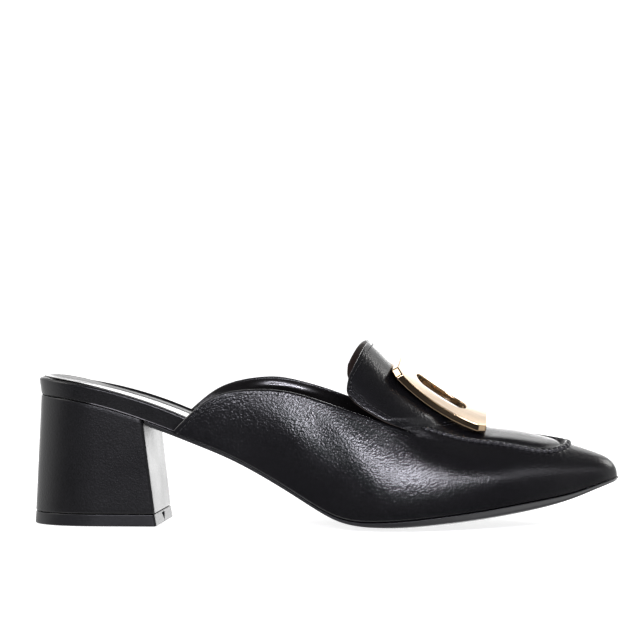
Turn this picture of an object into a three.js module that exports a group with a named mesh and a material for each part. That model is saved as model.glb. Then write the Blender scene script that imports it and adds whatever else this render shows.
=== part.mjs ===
// A backless loafer (mule) for the right foot: a moulded leather upper with a standing tongue and a
// bent metal ring on the vamp, a wrapped insole, a thin outsole and a flared block heel with its top lift.
// Millimetres, +Z up, +X to the toe, +Y to the inner (medial) side of the foot.
import * as THREE from 'three';

// Driving dimensions of the shoe.
const shoe = {
	length: 244.6, // back of the insole to the tip of the toe
	ballWidth: 76, // over the upper at the ball of the foot
	heelHeight: 55, // floor to the underside of the seat at its back
	instepHeight: 73.4, // floor to the top of the upper's form where the tongue ends
};
const wall = 1.8; // upper leather and its lining
const gap = 0.3; // between pieces that meet
const insoleInset = wall + 2 * gap; // insole edge inside the form's outline
const seat = { back: -1.2, middle: 26, roundness: 2.2 }; // the insole's back, and where its rounding starts
const toe = { start: 215, roundness: 2.4, depth: 8.4 }; // where its rounding starts, and the tip's depth

// Cross-sections of the form that the upper is pulled over. All are shares: at of the length, lateral,
// medial and lean of the ball width (from the heel's middle line), feather of the heel height, ridge of
// the instep height.
const sections = [
	{ at: 0.0, lateral: 0.355, medial: 0.355, feather: 0.996, ridge: 1.608, lean: 0.0 },
	{ at: 0.053, lateral: 0.364, medial: 0.364, feather: 0.971, ridge: 1.608, lean: 0.0 },
	{ at: 0.106, lateral: 0.37, medial: 0.37, feather: 0.929, ridge: 1.608, lean: 0.0 },
	{ at: 0.163, lateral: 0.371, medial: 0.368, feather: 0.858, ridge: 1.608, lean: 0.0 },
	{ at: 0.224, lateral: 0.363, medial: 0.354, feather: 0.762, ridge: 1.594, lean: 0.0 },
	{ at: 0.285, lateral: 0.354, medial: 0.333, feather: 0.656, ridge: 1.567, lean: 0.0 },
	{ at: 0.346, lateral: 0.358, medial: 0.324, feather: 0.544, ridge: 1.519, lean: 0.0 },
	{ at: 0.407, lateral: 0.379, medial: 0.334, feather: 0.403, ridge: 1.431, lean: 0.007 },
	{ at: 0.469, lateral: 0.413, medial: 0.368, feather: 0.24, ridge: 1.308, lean: 0.013 },
	{ at: 0.53, lateral: 0.45, medial: 0.42, feather: 0.1, ridge: 1.139, lean: 0.026 },
	{ at: 0.591, lateral: 0.48, medial: 0.471, feather: 0.071, ridge: 0.947, lean: 0.039 },
	{ at: 0.64, lateral: 0.488, medial: 0.5, feather: 0.085, ridge: 0.792, lean: 0.046 },
	{ at: 0.693, lateral: 0.474, medial: 0.509, feather: 0.112, ridge: 0.654, lean: 0.053 },
	{ at: 0.754, lateral: 0.426, medial: 0.489, feather: 0.146, ridge: 0.567, lean: 0.057 },
	{ at: 0.815, lateral: 0.355, medial: 0.446, feather: 0.188, ridge: 0.544, lean: 0.059 },
	{ at: 0.876, lateral: 0.261, medial: 0.371, feather: 0.232, ridge: 0.503, lean: 0.062 },
	{ at: 0.929, lateral: 0.175, medial: 0.303, feather: 0.279, ridge: 0.452, lean: 0.064 },
	{ at: 0.966, lateral: 0.136, medial: 0.274, feather: 0.33, ridge: 0.411, lean: 0.069 },
	{ at: 1.0, lateral: 0.12, medial: 0.267, feather: 0.375, ridge: 0.366, lean: 0.074 },
];

// How full each section is: rise and crown are the lengths of its handles, and belly is how far its side
// swells, as a share of the ball width.
const fullness = [
	{ at: 0.0, rise: 0.5, crown: 0.6, belly: 0.0 },
	{ at: 0.053, rise: 0.5, crown: 0.6, belly: 0.0 },
	{ at: 0.106, rise: 0.5, crown: 0.6, belly: 0.0 },
	{ at: 0.163, rise: 0.5, crown: 0.6, belly: 0.0 },
	{ at: 0.224, rise: 0.5, crown: 0.6, belly: 0.003 },
	{ at: 0.285, rise: 0.5, crown: 0.6, belly: 0.007 },
	{ at: 0.346, rise: 0.5, crown: 0.6, belly: 0.01 },
	{ at: 0.407, rise: 0.49, crown: 0.61, belly: 0.013 },
	{ at: 0.469, rise: 0.48, crown: 0.63, belly: 0.016 },
	{ at: 0.53, rise: 0.47, crown: 0.66, belly: 0.021 },
	{ at: 0.591, rise: 0.46, crown: 0.69, belly: 0.025 },
	{ at: 0.64, rise: 0.45, crown: 0.7, belly: 0.028 },
	{ at: 0.693, rise: 0.46, crown: 0.7, belly: 0.026 },
	{ at: 0.754, rise: 0.48, crown: 0.7, belly: 0.021 },
	{ at: 0.815, rise: 0.5, crown: 0.68, belly: 0.018 },
	{ at: 0.876, rise: 0.53, crown: 0.65, belly: 0.014 },
	{ at: 0.929, rise: 0.55, crown: 0.6, belly: 0.01 },
	{ at: 0.966, rise: 0.56, crown: 0.57, belly: 0.008 },
	{ at: 1.0, rise: 0.57, crown: 0.55, belly: 0.006 },
];

// Top edge of the quarters: along is the share of the way from the rear corner to the throat, and the
// heights over the floor are shares of the instep height.
const rearCorner = { lateral: 60.5, medial: 55 };
const throat = 158;
const topline = [
	{ along: 0.0, lateral: 0.551, medial: 0.581 },
	{ along: 0.07, lateral: 0.646, medial: 0.666 },
	{ along: 0.15, lateral: 0.729, medial: 0.755 },
	{ along: 0.24, lateral: 0.772, medial: 0.811 },
	{ along: 0.34, lateral: 0.786, medial: 0.837 },
	{ along: 0.42, lateral: 0.785, medial: 0.841 },
	{ along: 0.52, lateral: 0.766, medial: 0.816 },
	{ along: 0.64, lateral: 0.719, medial: 0.767 },
	{ along: 0.77, lateral: 0.661, medial: 0.7 },
	{ along: 1.0, lateral: 0.554, medial: 0.593 },
];

// The tongue, row by row from its front edge on the vamp to its top edge: x on the ridge, then x and height
// of its two sides. Bow is the power by which a row bends from the ridge to the sides.
const tongue = { thickness: 2, bow: 2 };
const tongueRows = [
	{ up: 0.0, ridgeX: 180.5, lateralX: 157.5, lateralZ: 40.6, medialX: 157.5, medialZ: 44.0 },
	{ up: 0.15, ridgeX: 174.7, lateralX: 150, lateralZ: 43.4, medialX: 149.5, medialZ: 47.0 },
	{ up: 0.35, ridgeX: 165, lateralX: 143.4, lateralZ: 46.8, medialX: 142, medialZ: 50.5 },
	{ up: 0.6, ridgeX: 153, lateralX: 137, lateralZ: 50.9, medialX: 135, medialZ: 54.5 },
	{ up: 0.8, ridgeX: 145, lateralX: 133.6, lateralZ: 54.3, medialX: 130.5, medialZ: 58.5 },
	{ up: 0.93, ridgeX: 140.5, lateralX: 132.4, lateralZ: 57.8, medialX: 129.0, medialZ: 62.5 },
	{ up: 1.0, ridgeX: 138.4, lateralX: 132.9, lateralZ: 61.5, medialX: 129.3, medialZ: 66 },
];

// Outsole: how far its edge lies inside the form's outline, its thickness at the edge, how far its
// underside swells down in the middle, and how far the bottom of the insole above it dips there.
const outsoleStart = 47.9;
const soleRows = [
	{ x: 46, inset: 3.1, edge: 1.9, swell: 0.2, dip: 0.0 },
	{ x: 58, inset: 2.5, edge: 1.7, swell: 0.4, dip: 0.1 },
	{ x: 72, inset: 0.9, edge: 1.5, swell: 0.6, dip: 0.3 },
	{ x: 100, inset: 0.3, edge: 1.4, swell: 0.7, dip: 0.6 },
	{ x: 128, inset: -0.3, edge: 1.3, swell: 1.0, dip: 0.9 },
	{ x: 150, inset: -0.7, edge: 2.2, swell: 2.6, dip: 1.0 },
	{ x: 172, inset: -0.8, edge: 2.9, swell: 3.0, dip: 1.7 },
	{ x: 190, inset: -0.8, edge: 3.2, swell: 2.5, dip: 1.7 },
	{ x: 214, inset: -0.8, edge: 3.1, swell: 1.4, dip: 1.1 },
	{ x: 229, inset: -0.7, edge: 2.1, swell: 0.8, dip: 0.5 },
	{ x: 245, inset: -0.6, edge: 1.3, swell: 0.2, dip: 0.1 },
];

// Insole: thickness square to the seat, and how far its middle dips below its rim.
const insoleRows = [
	{ x: 0, thickness: 7.2, cup: 1.2 },
	{ x: 30, thickness: 7.2, cup: 1.7 },
	{ x: 66, thickness: 7.3, cup: 1.7 },
	{ x: 95, thickness: 5.0, cup: 1.2 },
	{ x: 130, thickness: 3.4, cup: 0.7 },
	{ x: 246, thickness: 2.8, cup: 0.4 },
];
const insoleTaper = 0.8; // its underside is this much smaller all round

// Block heel: plan outlines as D shapes, from the round back to the flat breast.
const liftThickness = 5;
const heelFan = 14; // how far the middle stays inside the round back
const heelTop = {
	back: -0.4, middle: 26, breast: 46.8,
	middleHalf: 25.1, breastHalf: 24.5, roundness: 2.2,
};
const heelFoot = {
	back: -2.7, middle: 26, breast: 51.6,
	middleHalf: 23.5, breastHalf: 22.5, roundness: 2.3,
};
const liftFoot = {
	back: -3.0, middle: 26, breast: 52.4,
	middleHalf: 23.6, breastHalf: 22.6, roundness: 2.3,
};

// Metal ring on the vamp, bent along and across. Its outer walls lean in by the draft towards the top.
const ring = {
	length: 47.6, width: 41.8, thickness: 3, chamfer: 3.4, draft: 0.8,
	openLength: 26, openWidth: 18.5, openRoundness: 2.7,
	middle: new THREE.Vector3(168.3, 3.5, 53.0),
	tilt: THREE.MathUtils.degToRad(33.2),
	roll: THREE.MathUtils.degToRad(11),
	swing: THREE.MathUtils.degToRad(6.2),
	alongRadius: 86, acrossRadius: 240,
};

const LATERAL = -1;
const MEDIAL = 1;
const QUARTER_TURN = Math.PI / 2;

// Natural cubic spline through the rows of a table.
function spline(rows, key, name) {
	const x = rows.map((row) => row[key]);
	const y = rows.map((row) => row[name]);
	const bend = x.map(() => 0);
	const share = x.map(() => 0);
	for (let i = 1; i < x.length - 1; i++) {
		const span = x[i + 1] - x[i - 1];
		const part = (x[i] - x[i - 1]) / span;
		const pivot = part * share[i - 1] + 2;
		const turn = (y[i + 1] - y[i]) / (x[i + 1] - x[i]) - (y[i] - y[i - 1]) / (x[i] - x[i - 1]);
		share[i] = (part - 1) / pivot;
		bend[i] = ((6 * turn) / span - part * bend[i - 1]) / pivot;
	}
	for (let i = x.length - 2; i >= 0; i--) bend[i] += share[i] * bend[i + 1];
	return (at) => {
		const place = THREE.MathUtils.clamp(at, x[0], x[x.length - 1]);
		let i = 0;
		while (i < x.length - 2 && place > x[i + 1]) i++;
		const step = x[i + 1] - x[i];
		const a = (x[i + 1] - place) / step;
		const b = 1 - a;
		const curved = (a ** 3 - a) * bend[i] + (b ** 3 - b) * bend[i + 1];
		return a * y[i] + b * y[i + 1] + (curved * step * step) / 6;
	};
}

const alongShoe = (table, name, size) => {
	const read = spline(table, 'at', name);
	return (x) => read(x / shoe.length) * size;
};
const halfWidth = {
	[LATERAL]: alongShoe(sections, 'lateral', shoe.ballWidth),
	[MEDIAL]: alongShoe(sections, 'medial', shoe.ballWidth),
};
const feather = alongShoe(sections, 'feather', shoe.heelHeight);
const ridge = alongShoe(sections, 'ridge', shoe.instepHeight);
const lean = alongShoe(sections, 'lean', shoe.ballWidth);
const rise = alongShoe(fullness, 'rise', 1);
const crown = alongShoe(fullness, 'crown', 1);
const belly = alongShoe(fullness, 'belly', shoe.ballWidth);
const slope = (curve, x) => curve(x + 0.5) - curve(x - 0.5); // over one millimetre

// A place part of the way from one value to another.
const spread = (from, to, share) => from + (to - from) * share;

// A quarter of a rounded box: how far out and how far along its outline is after a turn.
function roundedCorner(turn, roundness) {
	const [out, along] = [Math.max(Math.cos(turn), 0), Math.max(Math.sin(turn), 0)];
	const size = (out ** roundness + along ** roundness) ** (1 / roundness);
	return { out: out / size, along: along / size };
}

// The outline at a station, which counts millimetres from the back and runs round the heel and the toe.
function outline(station) {
	if (station < seat.middle) {
		const turn = ((seat.middle - station) / seat.middle) * QUARTER_TURN;
		const corner = roundedCorner(turn, seat.roundness);
		const reach = seat.middle - seat.back + insoleInset;
		return { x: seat.middle - reach * corner.along, narrow: corner.out, turn: -turn };
	}
	if (station > toe.start) {
		const turn = ((station - toe.start) / (shoe.length - toe.start)) * QUARTER_TURN;
		const corner = roundedCorner(turn, toe.roundness);
		return { x: toe.start + (shoe.length - toe.start) * corner.along, narrow: corner.out, turn };
	}
	return { x: station, narrow: 1, turn: 0 };
}

// A point of the form's surface: climb runs from 0 at the feather edge to 1 at the ridge.
function formPoint(station, side, climb) {
	const { x, narrow } = outline(station);
	const ridgeX = x - toe.depth * (Math.max(x - toe.start, 0) / (shoe.length - toe.start)) ** 2;
	const middle = lean(ridgeX);
	const foot = new THREE.Vector3(x, middle + (side * halfWidth[side](x) - middle) * narrow, feather(x));
	const top = new THREE.Vector3(ridgeX, middle, ridge(ridgeX));
	const footHandle = foot.clone();
	footHandle.y += side * belly(x) * narrow;
	footHandle.z += rise(x) * (top.z - foot.z);
	const topHandle = top.clone().lerp(foot, crown(x));
	topHandle.z = top.z + slope(ridge, ridgeX) * (topHandle.x - ridgeX);
	return new THREE.CubicBezierCurve3(foot, footHandle, topHandle, top).getPoint(climb);
}

// The direction square to the form's surface. At the tip of the toe, at the back and on the ridge it is
// taken from the points on both sides.
function formNormal(station, side, climb) {
	const step = 0.01;
	const stride = 0.2;
	const onRidge = climb > 1 - step;
	const place = Math.min(station, shoe.length - (onRidge ? 2 * stride : 0));
	const around = onRidge
		? formPoint(place, -side, 1 - step).sub(formPoint(place, side, 1 - step))
		: formPoint(place, side, climb + step).sub(formPoint(place, side, Math.max(climb - step, 0)));
	const across = (at) => formPoint(at, MEDIAL, climb)
		.sub(formPoint(at, LATERAL, climb))
		.multiplyScalar(side);
	let ahead;
	if (place < stride) ahead = across(stride);
	else if (place > shoe.length - stride) ahead = across(shoe.length - stride).negate();
	else ahead = formPoint(place + stride, side, climb).sub(formPoint(place - stride, side, climb));
	return ahead.cross(around).multiplyScalar(-side).normalize();
}

// A point at a distance outside the form.
function offForm(station, side, climb, distance) {
	return formPoint(station, side, climb).addScaledVector(formNormal(station, side, climb), distance);
}

// The climb at which the form reaches a height.
function climbTo(station, side, height) {
	let low = 0;
	let high = 1;
	for (let i = 0; i < 30; i++) {
		const middle = (low + high) / 2;
		if (formPoint(station, side, middle).z < height) low = middle;
		else high = middle;
	}
	return low;
}

// A closed solid between two faces of a grid. Points of the outer face that coincide become one, and
// its open edges are joined to the inner face.
function gridSolid({ columns, rows, outer, inner, keeps = () => true }) {
	const outerPoints = [];
	const innerPoints = [];
	const known = new Map();
	const vertex = (i, j) => {
		const point = outer(i, j);
		const key = point.toArray().map((value) => Math.round(value * 1000)).join();
		if (!known.has(key)) {
			known.set(key, outerPoints.length);
			outerPoints.push(point);
			innerPoints.push(inner(i, j));
		}
		return known.get(key);
	};
	const faces = [];
	for (let i = 0; i < columns; i++) {
		for (let j = 0; j < rows; j++) {
			if (!keeps(i, j)) continue;
			const [a, b, c, d] = [vertex(i, j), vertex(i + 1, j), vertex(i + 1, j + 1), vertex(i, j + 1)];
			faces.push([a, b, c], [a, c, d]);
		}
	}
	const whole = faces.filter(([a, b, c]) => a !== b && b !== c && c !== a);
	const edges = new Set(whole.flatMap(([a, b, c]) => [`${a},${b}`, `${b},${c}`, `${c},${a}`]));
	const count = outerPoints.length;
	const index = whole.flatMap(([a, b, c]) => [a, b, c, a + count, c + count, b + count]);
	for (const edge of edges) {
		const [a, b] = edge.split(',').map(Number);
		if (!edges.has(`${b},${a}`)) index.push(b, a, a + count, b, a + count, b + count);
	}
	const geometry = new THREE.BufferGeometry().setFromPoints([...outerPoints, ...innerPoints]);
	geometry.setIndex(index);
	geometry.computeVertexNormals();
	return geometry;
}

// Upper: two quarters that rise from their rear corners, joined ahead of the throat by the vamp.
function upperGeometry() {
	const quarterColumns = 20;
	const vampColumns = 12;
	const toeColumns = 10;
	const columns = quarterColumns + vampColumns + toeColumns;
	const sideRows = 9; // from the feather edge to the topline
	const topRows = 8; // from there to the ridge, ahead of the throat only
	const tipClimb = 0.55; // where both sides' rows meet at the tip of the toe
	const crowding = 1.15; // sets the quarter's columns closer together at its rear corner
	const edge = {
		[LATERAL]: spline(topline, 'along', 'lateral'),
		[MEDIAL]: spline(topline, 'along', 'medial'),
	};
	const corner = { [LATERAL]: rearCorner.lateral, [MEDIAL]: rearCorner.medial };
	const stationOf = (i, side) => {
		if (i <= quarterColumns) return spread(corner[side], throat, (i / quarterColumns) ** crowding);
		const ahead = i - quarterColumns;
		if (ahead <= vampColumns) return spread(throat, toe.start, ahead / vampColumns);
		return spread(toe.start, shoe.length, (ahead - vampColumns) / toeColumns);
	};
	const edgeClimb = (station, side) => {
		const along = Math.min((station - corner[side]) / (throat - corner[side]), 1);
		const own = climbTo(Math.min(station, throat), side, edge[side](along) * shoe.instepHeight);
		return spread(own, tipClimb, Math.max((station - throat) / (shoe.length - throat), 0));
	};
	const climbOf = (station, side, row) => {
		const atEdge = edgeClimb(station, side);
		if (row <= sideRows) return (atEdge * row) / sideRows;
		return spread(atEdge, 1, (row - sideRows) / topRows);
	};
	const half = sideRows + topRows;
	const place = (i, j) => {
		const side = j <= half ? LATERAL : MEDIAL;
		const station = stationOf(i, side);
		return [station, side, climbOf(station, side, side === LATERAL ? j : 2 * half - j)];
	};
	return gridSolid({
		columns,
		rows: 2 * half,
		keeps: (i, j) => i >= quarterColumns || j < sideRows || j >= 2 * half - sideRows,
		outer: (i, j) => formPoint(...place(i, j)),
		inner: (i, j) => {
			const [station, side, climb] = place(i, j);
			const point = offForm(station, side, climb, -wall);
			if (climb === 0) point.z = formPoint(station, side, 0).z;
			return point;
		},
	});
}

// Tongue: lies on the vamp under the ring and stands free behind the throat.
function tongueGeometry() {
	const columns = 16;
	const rows = 18;
	const read = (name) => spline(tongueRows, 'up', name);
	const ridgeX = read('ridgeX');
	const edgeX = { [LATERAL]: read('lateralX'), [MEDIAL]: read('medialX') };
	const edgeZ = { [LATERAL]: read('lateralZ'), [MEDIAL]: read('medialZ') };
	const place = (i, j) => {
		const up = 1 - i / columns;
		const across = (2 * j) / rows - 1;
		const side = across <= 0 ? LATERAL : MEDIAL;
		const reach = Math.abs(across);
		const sideX = edgeX[side](up);
		const station = spread(ridgeX(up), sideX, reach ** tongue.bow);
		return [station, side, 1 - (1 - climbTo(sideX, side, edgeZ[side](up))) * reach];
	};
	return gridSolid({
		columns,
		rows,
		outer: (i, j) => offForm(...place(i, j), gap + tongue.thickness),
		inner: (i, j) => offForm(...place(i, j), 1.2 * gap),
	});
}

// A point in plan inside the outline by an inset: across runs from -1 on the lateral edge to 1 on the
// medial.
function planPoint(station, across, inset) {
	const side = across <= 0 ? LATERAL : MEDIAL;
	const { turn } = outline(station);
	const fan = { back: 18, front: 20 }; // how far the middle stays inside the rounded ends
	const share = Math.abs(turn) / QUARTER_TURN;
	let middleX = station;
	if (turn < 0) middleX = spread(seat.middle, seat.back + fan.back, share);
	if (turn > 0) middleX = spread(toe.start, shoe.length - fan.front, share);
	const middle = new THREE.Vector3(middleX, lean(middleX), 0);
	const edge = formPoint(station, side, 0);
	const inward = formNormal(station, side, 0.002).setZ(0).normalize();
	edge.addScaledVector(inward, -inset).setZ(0);
	return middle.lerp(edge, Math.abs(across));
}

// Stations from one end of a flat piece to the other, closer together where the outline rounds.
function flatStations(from, bodyColumns, roundColumns) {
	const start = Math.max(from, seat.middle);
	const back = from < seat.middle ? roundColumns : 0;
	const stations = [];
	for (let i = 0; i < back; i++) stations.push(spread(from, start, i / back));
	for (let i = 0; i < bodyColumns; i++) stations.push(spread(start, toe.start, i / bodyColumns));
	for (let i = 0; i <= roundColumns; i++) stations.push(spread(toe.start, shoe.length, i / roundColumns));
	return stations;
}

const bottomDip = spline(soleRows, 'x', 'dip');
const featherGap = (x) => gap * Math.hypot(1, slope(feather, x)); // upright, for a gap square to the seat

function insoleGeometry() {
	const rows = 8;
	const stations = flatStations(0, 22, 7);
	const thickness = spline(insoleRows, 'x', 'thickness');
	const cup = spline(insoleRows, 'x', 'cup');
	const across = (j) => (2 * j) / rows - 1;
	return gridSolid({
		columns: stations.length - 1,
		rows,
		outer: (i, j) => {
			const point = planPoint(stations[i], across(j), insoleInset);
			const upright = thickness(point.x) / Math.cos(Math.atan(slope(feather, point.x)));
			return point.setZ(feather(point.x) + upright - cup(point.x) * (1 - across(j) ** 4));
		},
		inner: (i, j) => {
			const point = planPoint(stations[i], across(j), insoleInset + insoleTaper);
			return point.setZ(feather(point.x) - bottomDip(point.x) * (1 - across(j) ** 2));
		},
	});
}

function outsoleGeometry() {
	const rows = 8;
	const stations = flatStations(outsoleStart, 28, 8);
	const inset = spline(soleRows, 'x', 'inset');
	const edge = spline(soleRows, 'x', 'edge');
	const swell = spline(soleRows, 'x', 'swell');
	const across = (j) => (2 * j) / rows - 1;
	const plan = (i, j) => planPoint(stations[i], across(j), inset(stations[i]));
	return gridSolid({
		columns: stations.length - 1,
		rows,
		outer: (i, j) => {
			const point = plan(i, j);
			const dip = bottomDip(point.x) * (1 - across(j) ** 2);
			return point.setZ(feather(point.x) - featherGap(point.x) - dip);
		},
		inner: (i, j) => {
			const point = plan(i, j);
			const depth = edge(point.x) + swell(point.x) * (1 - across(j) ** 2);
			return point.setZ(Math.max(feather(point.x) - featherGap(point.x) - depth, 0));
		},
	});
}

// A point of a D-shaped outline's inside: share runs from its round back to its breast.
function heelPoint(shape, share, across) {
	const point = new THREE.Vector3();
	if (share < 0.5) {
		const corner = roundedCorner((1 - 2 * share) * QUARTER_TURN, shape.roundness);
		const edgeX = shape.middle - (shape.middle - shape.back) * corner.along;
		const innerX = spread(shape.back + heelFan, shape.middle, 2 * share);
		point.x = spread(innerX, edgeX, Math.abs(across));
		point.y = across * shape.middleHalf * corner.out;
	} else {
		const ahead = 2 * share - 1;
		point.x = spread(shape.middle, shape.breast, ahead);
		point.y = across * spread(shape.middleHalf, shape.breastHalf, ahead);
	}
	return point;
}

function heelGeometry() {
	const columns = 18;
	const rows = 8;
	return gridSolid({
		columns,
		rows,
		outer: (i, j) => {
			const point = heelPoint(heelTop, i / columns, (2 * j) / rows - 1);
			return point.setZ(feather(point.x) - featherGap(point.x));
		},
		inner: (i, j) => heelPoint(heelFoot, i / columns, (2 * j) / rows - 1).setZ(liftThickness + gap),
	});
}

function topLiftGeometry() {
	const columns = 18;
	const rows = 8;
	return gridSolid({
		columns,
		rows,
		outer: (i, j) => heelPoint(heelFoot, i / columns, (2 * j) / rows - 1).setZ(liftThickness),
		inner: (i, j) => heelPoint(liftFoot, i / columns, (2 * j) / rows - 1),
	});
}

// A point of the bent ring: along and across in the flat plate, and height over its underside.
function ringPoint(along, across, height) {
	const bend = along / ring.alongRadius;
	const roll = across / ring.acrossRadius;
	const forward = (ring.alongRadius - height) * Math.sin(bend);
	const sideways = (ring.acrossRadius + height) * Math.sin(roll);
	const up = ring.alongRadius - (ring.alongRadius - height) * Math.cos(bend)
		- ring.acrossRadius * (1 - Math.cos(roll));
	const turn = new THREE.Euler(ring.roll, ring.tilt, ring.swing, 'ZYX');
	return new THREE.Vector3(forward, sideways, up).applyEuler(turn).add(ring.middle);
}

// The ring's outer edge is a rectangle with cut corners, and its opening is a rounded oblong.
function ringGeometry() {
	const perSide = 8;
	const rows = 3;
	const [halfLength, halfWide, cut] = [ring.length / 2, ring.width / 2, ring.chamfer];
	const cornerPoints = [
		[halfLength, cut - halfWide],
		[halfLength, halfWide - cut],
		[halfLength - cut, halfWide],
		[cut - halfLength, halfWide],
		[-halfLength, halfWide - cut],
		[-halfLength, cut - halfWide],
		[cut - halfLength, -halfWide],
		[halfLength - cut, -halfWide],
	].map(([x, y]) => new THREE.Vector2(x, y));
	const edgePoints = cornerPoints.flatMap((corner, i) => {
		const next = cornerPoints[(i + 1) % cornerPoints.length];
		const steps = i % 2 ? 1 : perSide;
		return Array.from({ length: steps }, (_, k) => corner.clone().lerp(next, k / steps));
	});
	const opening = ({ x, y }) => {
		const [a, b, power] = [ring.openLength / 2, ring.openWidth / 2, ring.openRoundness];
		const size = (Math.abs(x / a) ** power + Math.abs(y / b) ** power) ** (1 / power);
		return new THREE.Vector2(x / size, y / size);
	};
	const at = (i, j, height) => {
		const outerEdge = edgePoints[i % edgePoints.length];
		const across = opening(outerEdge).sub(outerEdge);
		const leaning = (ring.draft * height * (1 - j / rows)) / ring.thickness;
		const reach = (across.length() * j) / rows + leaning;
		const flat = across.setLength(reach).add(outerEdge);
		return ringPoint(flat.x, flat.y, height);
	};
	return gridSolid({
		columns: edgePoints.length,
		rows,
		outer: (i, j) => at(i, j, ring.thickness),
		inner: (i, j) => at(i, j, 0),
	});
}

const leather = (color, roughness) => new THREE.MeshStandardMaterial({ color, roughness, metalness: 0 });
const gold = new THREE.MeshStandardMaterial({ color: 0xe8c98a, roughness: 0.18, metalness: 1 });

const pieces = [
	['outsole', outsoleGeometry(), leather(0x1b1a19, 0.5)],
	['insole', insoleGeometry(), leather(0x1a1919, 0.45)],
	['upper', upperGeometry(), leather(0x141315, 0.35)],
	['tongue', tongueGeometry(), leather(0x151416, 0.35)],
	['buckle_ring', ringGeometry(), gold],
	['heel_block', heelGeometry(), leather(0x171617, 0.42)],
	['top_lift', topLiftGeometry(), leather(0x1c1b1c, 0.55)],
];

const mule = new THREE.Group();
for (const [name, geometry, material] of pieces) {
	const piece = new THREE.Mesh(geometry, material);
	piece.name = name;
	mule.add(piece);
}

// The origin is on the floor, under the middle of the whole shoe.
const bounds = new THREE.Box3().setFromObject(mule);
const middle = bounds.getCenter(new THREE.Vector3());
for (const piece of mule.children) piece.position.set(-middle.x, -middle.y, -bounds.min.z);

export default mule;
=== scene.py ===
import math

import bmesh
import bpy
import numpy as np
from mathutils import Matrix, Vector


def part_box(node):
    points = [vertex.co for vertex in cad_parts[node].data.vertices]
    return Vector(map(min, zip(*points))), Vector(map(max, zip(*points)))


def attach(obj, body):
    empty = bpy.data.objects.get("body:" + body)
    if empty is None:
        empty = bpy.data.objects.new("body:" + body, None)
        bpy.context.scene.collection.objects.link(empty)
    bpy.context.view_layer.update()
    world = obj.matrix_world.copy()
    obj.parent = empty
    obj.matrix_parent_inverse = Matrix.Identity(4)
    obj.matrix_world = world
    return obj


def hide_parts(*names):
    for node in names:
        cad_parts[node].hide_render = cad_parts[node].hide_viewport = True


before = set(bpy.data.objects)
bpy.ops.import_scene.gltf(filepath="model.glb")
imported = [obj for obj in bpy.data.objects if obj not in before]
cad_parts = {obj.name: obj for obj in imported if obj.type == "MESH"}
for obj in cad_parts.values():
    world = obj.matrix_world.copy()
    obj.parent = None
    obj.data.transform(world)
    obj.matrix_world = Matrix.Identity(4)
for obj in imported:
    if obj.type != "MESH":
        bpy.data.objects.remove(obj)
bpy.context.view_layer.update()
print("mule: frame loaded")

# Everything below is worked out in the shoe's own millimetres: x from the seat's back to the toe, y to the
# inner side of the foot, z up from the floor. This shift takes it to the frame's place.
insoleBack = -1.2
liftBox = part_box("top_lift")
shift = np.array([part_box("insole")[0].x * 1000 - insoleBack, (liftBox[0].y + liftBox[1].y) * 500, 0.0])


def inFrame(points):
    return (np.asarray(points, float) + shift) / 1000


# ---- the form the upper is pulled over
shoe = {"length": 244.6, "ballWidth": 76.0, "heelHeight": 55.0, "instepHeight": 73.4}
wall, gap = 1.8, 0.3
insoleInset = wall + 2 * gap
seat = {"back": insoleBack, "middle": 26.0, "roundness": 2.2, "spineStart": 18.0}
toe = {"start": 215.0, "roundness": 2.4, "depth": 8.4, "spineEnd": 20.0}

# shares of the sizes above, section by section from the back
formSections = {
    "at": [0, .053, .106, .163, .224, .285, .346, .407, .469, .53, .591, .64, .693, .754, .815, .876, .929,
           .966, 1],
    "lateral": [.355, .364, .37, .371, .363, .354, .358, .379, .413, .45, .48, .488, .474, .426, .355, .261,
                .175, .136, .12],
    "medial": [.355, .364, .37, .368, .354, .333, .324, .334, .368, .42, .471, .5, .509, .489, .446, .371,
               .303, .274, .267],
    "feather": [.996, .971, .929, .858, .762, .656, .544, .403, .24, .1, .071, .085, .112, .146, .188, .232,
                .279, .33, .375],
    "ridge": [1.608, 1.608, 1.608, 1.608, 1.594, 1.567, 1.519, 1.431, 1.308, 1.139, .947, .792, .654, .567,
              .544, .503, .452, .411, .366],
    "lean": [0, 0, 0, 0, 0, 0, 0, .007, .013, .026, .039, .046, .053, .057, .059, .062, .064, .069, .074],
    "rise": [.5, .5, .5, .5, .5, .5, .5, .49, .48, .47, .46, .45, .46, .48, .5, .53, .55, .56, .57],
    "crown": [.6, .6, .6, .6, .6, .6, .6, .61, .63, .66, .69, .7, .7, .7, .68, .65, .6, .57, .55],
    "belly": [0, 0, 0, 0, .003, .007, .01, .013, .016, .021, .025, .028, .026, .021, .018, .014, .01, .008,
              .006],
}
sectionScale = {"lateral": "ballWidth", "medial": "ballWidth", "lean": "ballWidth", "belly": "ballWidth",
                "feather": "heelHeight", "ridge": "instepHeight"}


def spline(places, values):
    # a smooth curve through the rows of a table
    x, y = np.array(places, float), np.array(values, float)
    h = np.diff(x)
    grid, turns = np.eye(len(x)), np.zeros(len(x))
    for i in range(1, len(x) - 1):
        grid[i, i - 1:i + 2] = h[i - 1] / 6, (h[i - 1] + h[i]) / 3, h[i] / 6
        turns[i] = (y[i + 1] - y[i]) / h[i] - (y[i] - y[i - 1]) / h[i - 1]
    bend = np.linalg.solve(grid, turns)

    def read(at):
        place = np.clip(np.asarray(at, float), x[0], x[-1])
        i = np.clip(np.searchsorted(x, place) - 1, 0, len(x) - 2)
        a = (x[i + 1] - place) / h[i]
        b = 1 - a
        return a * y[i] + b * y[i + 1] + ((a**3 - a) * bend[i] + (b**3 - b) * bend[i + 1]) * h[i]**2 / 6
    return read


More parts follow.
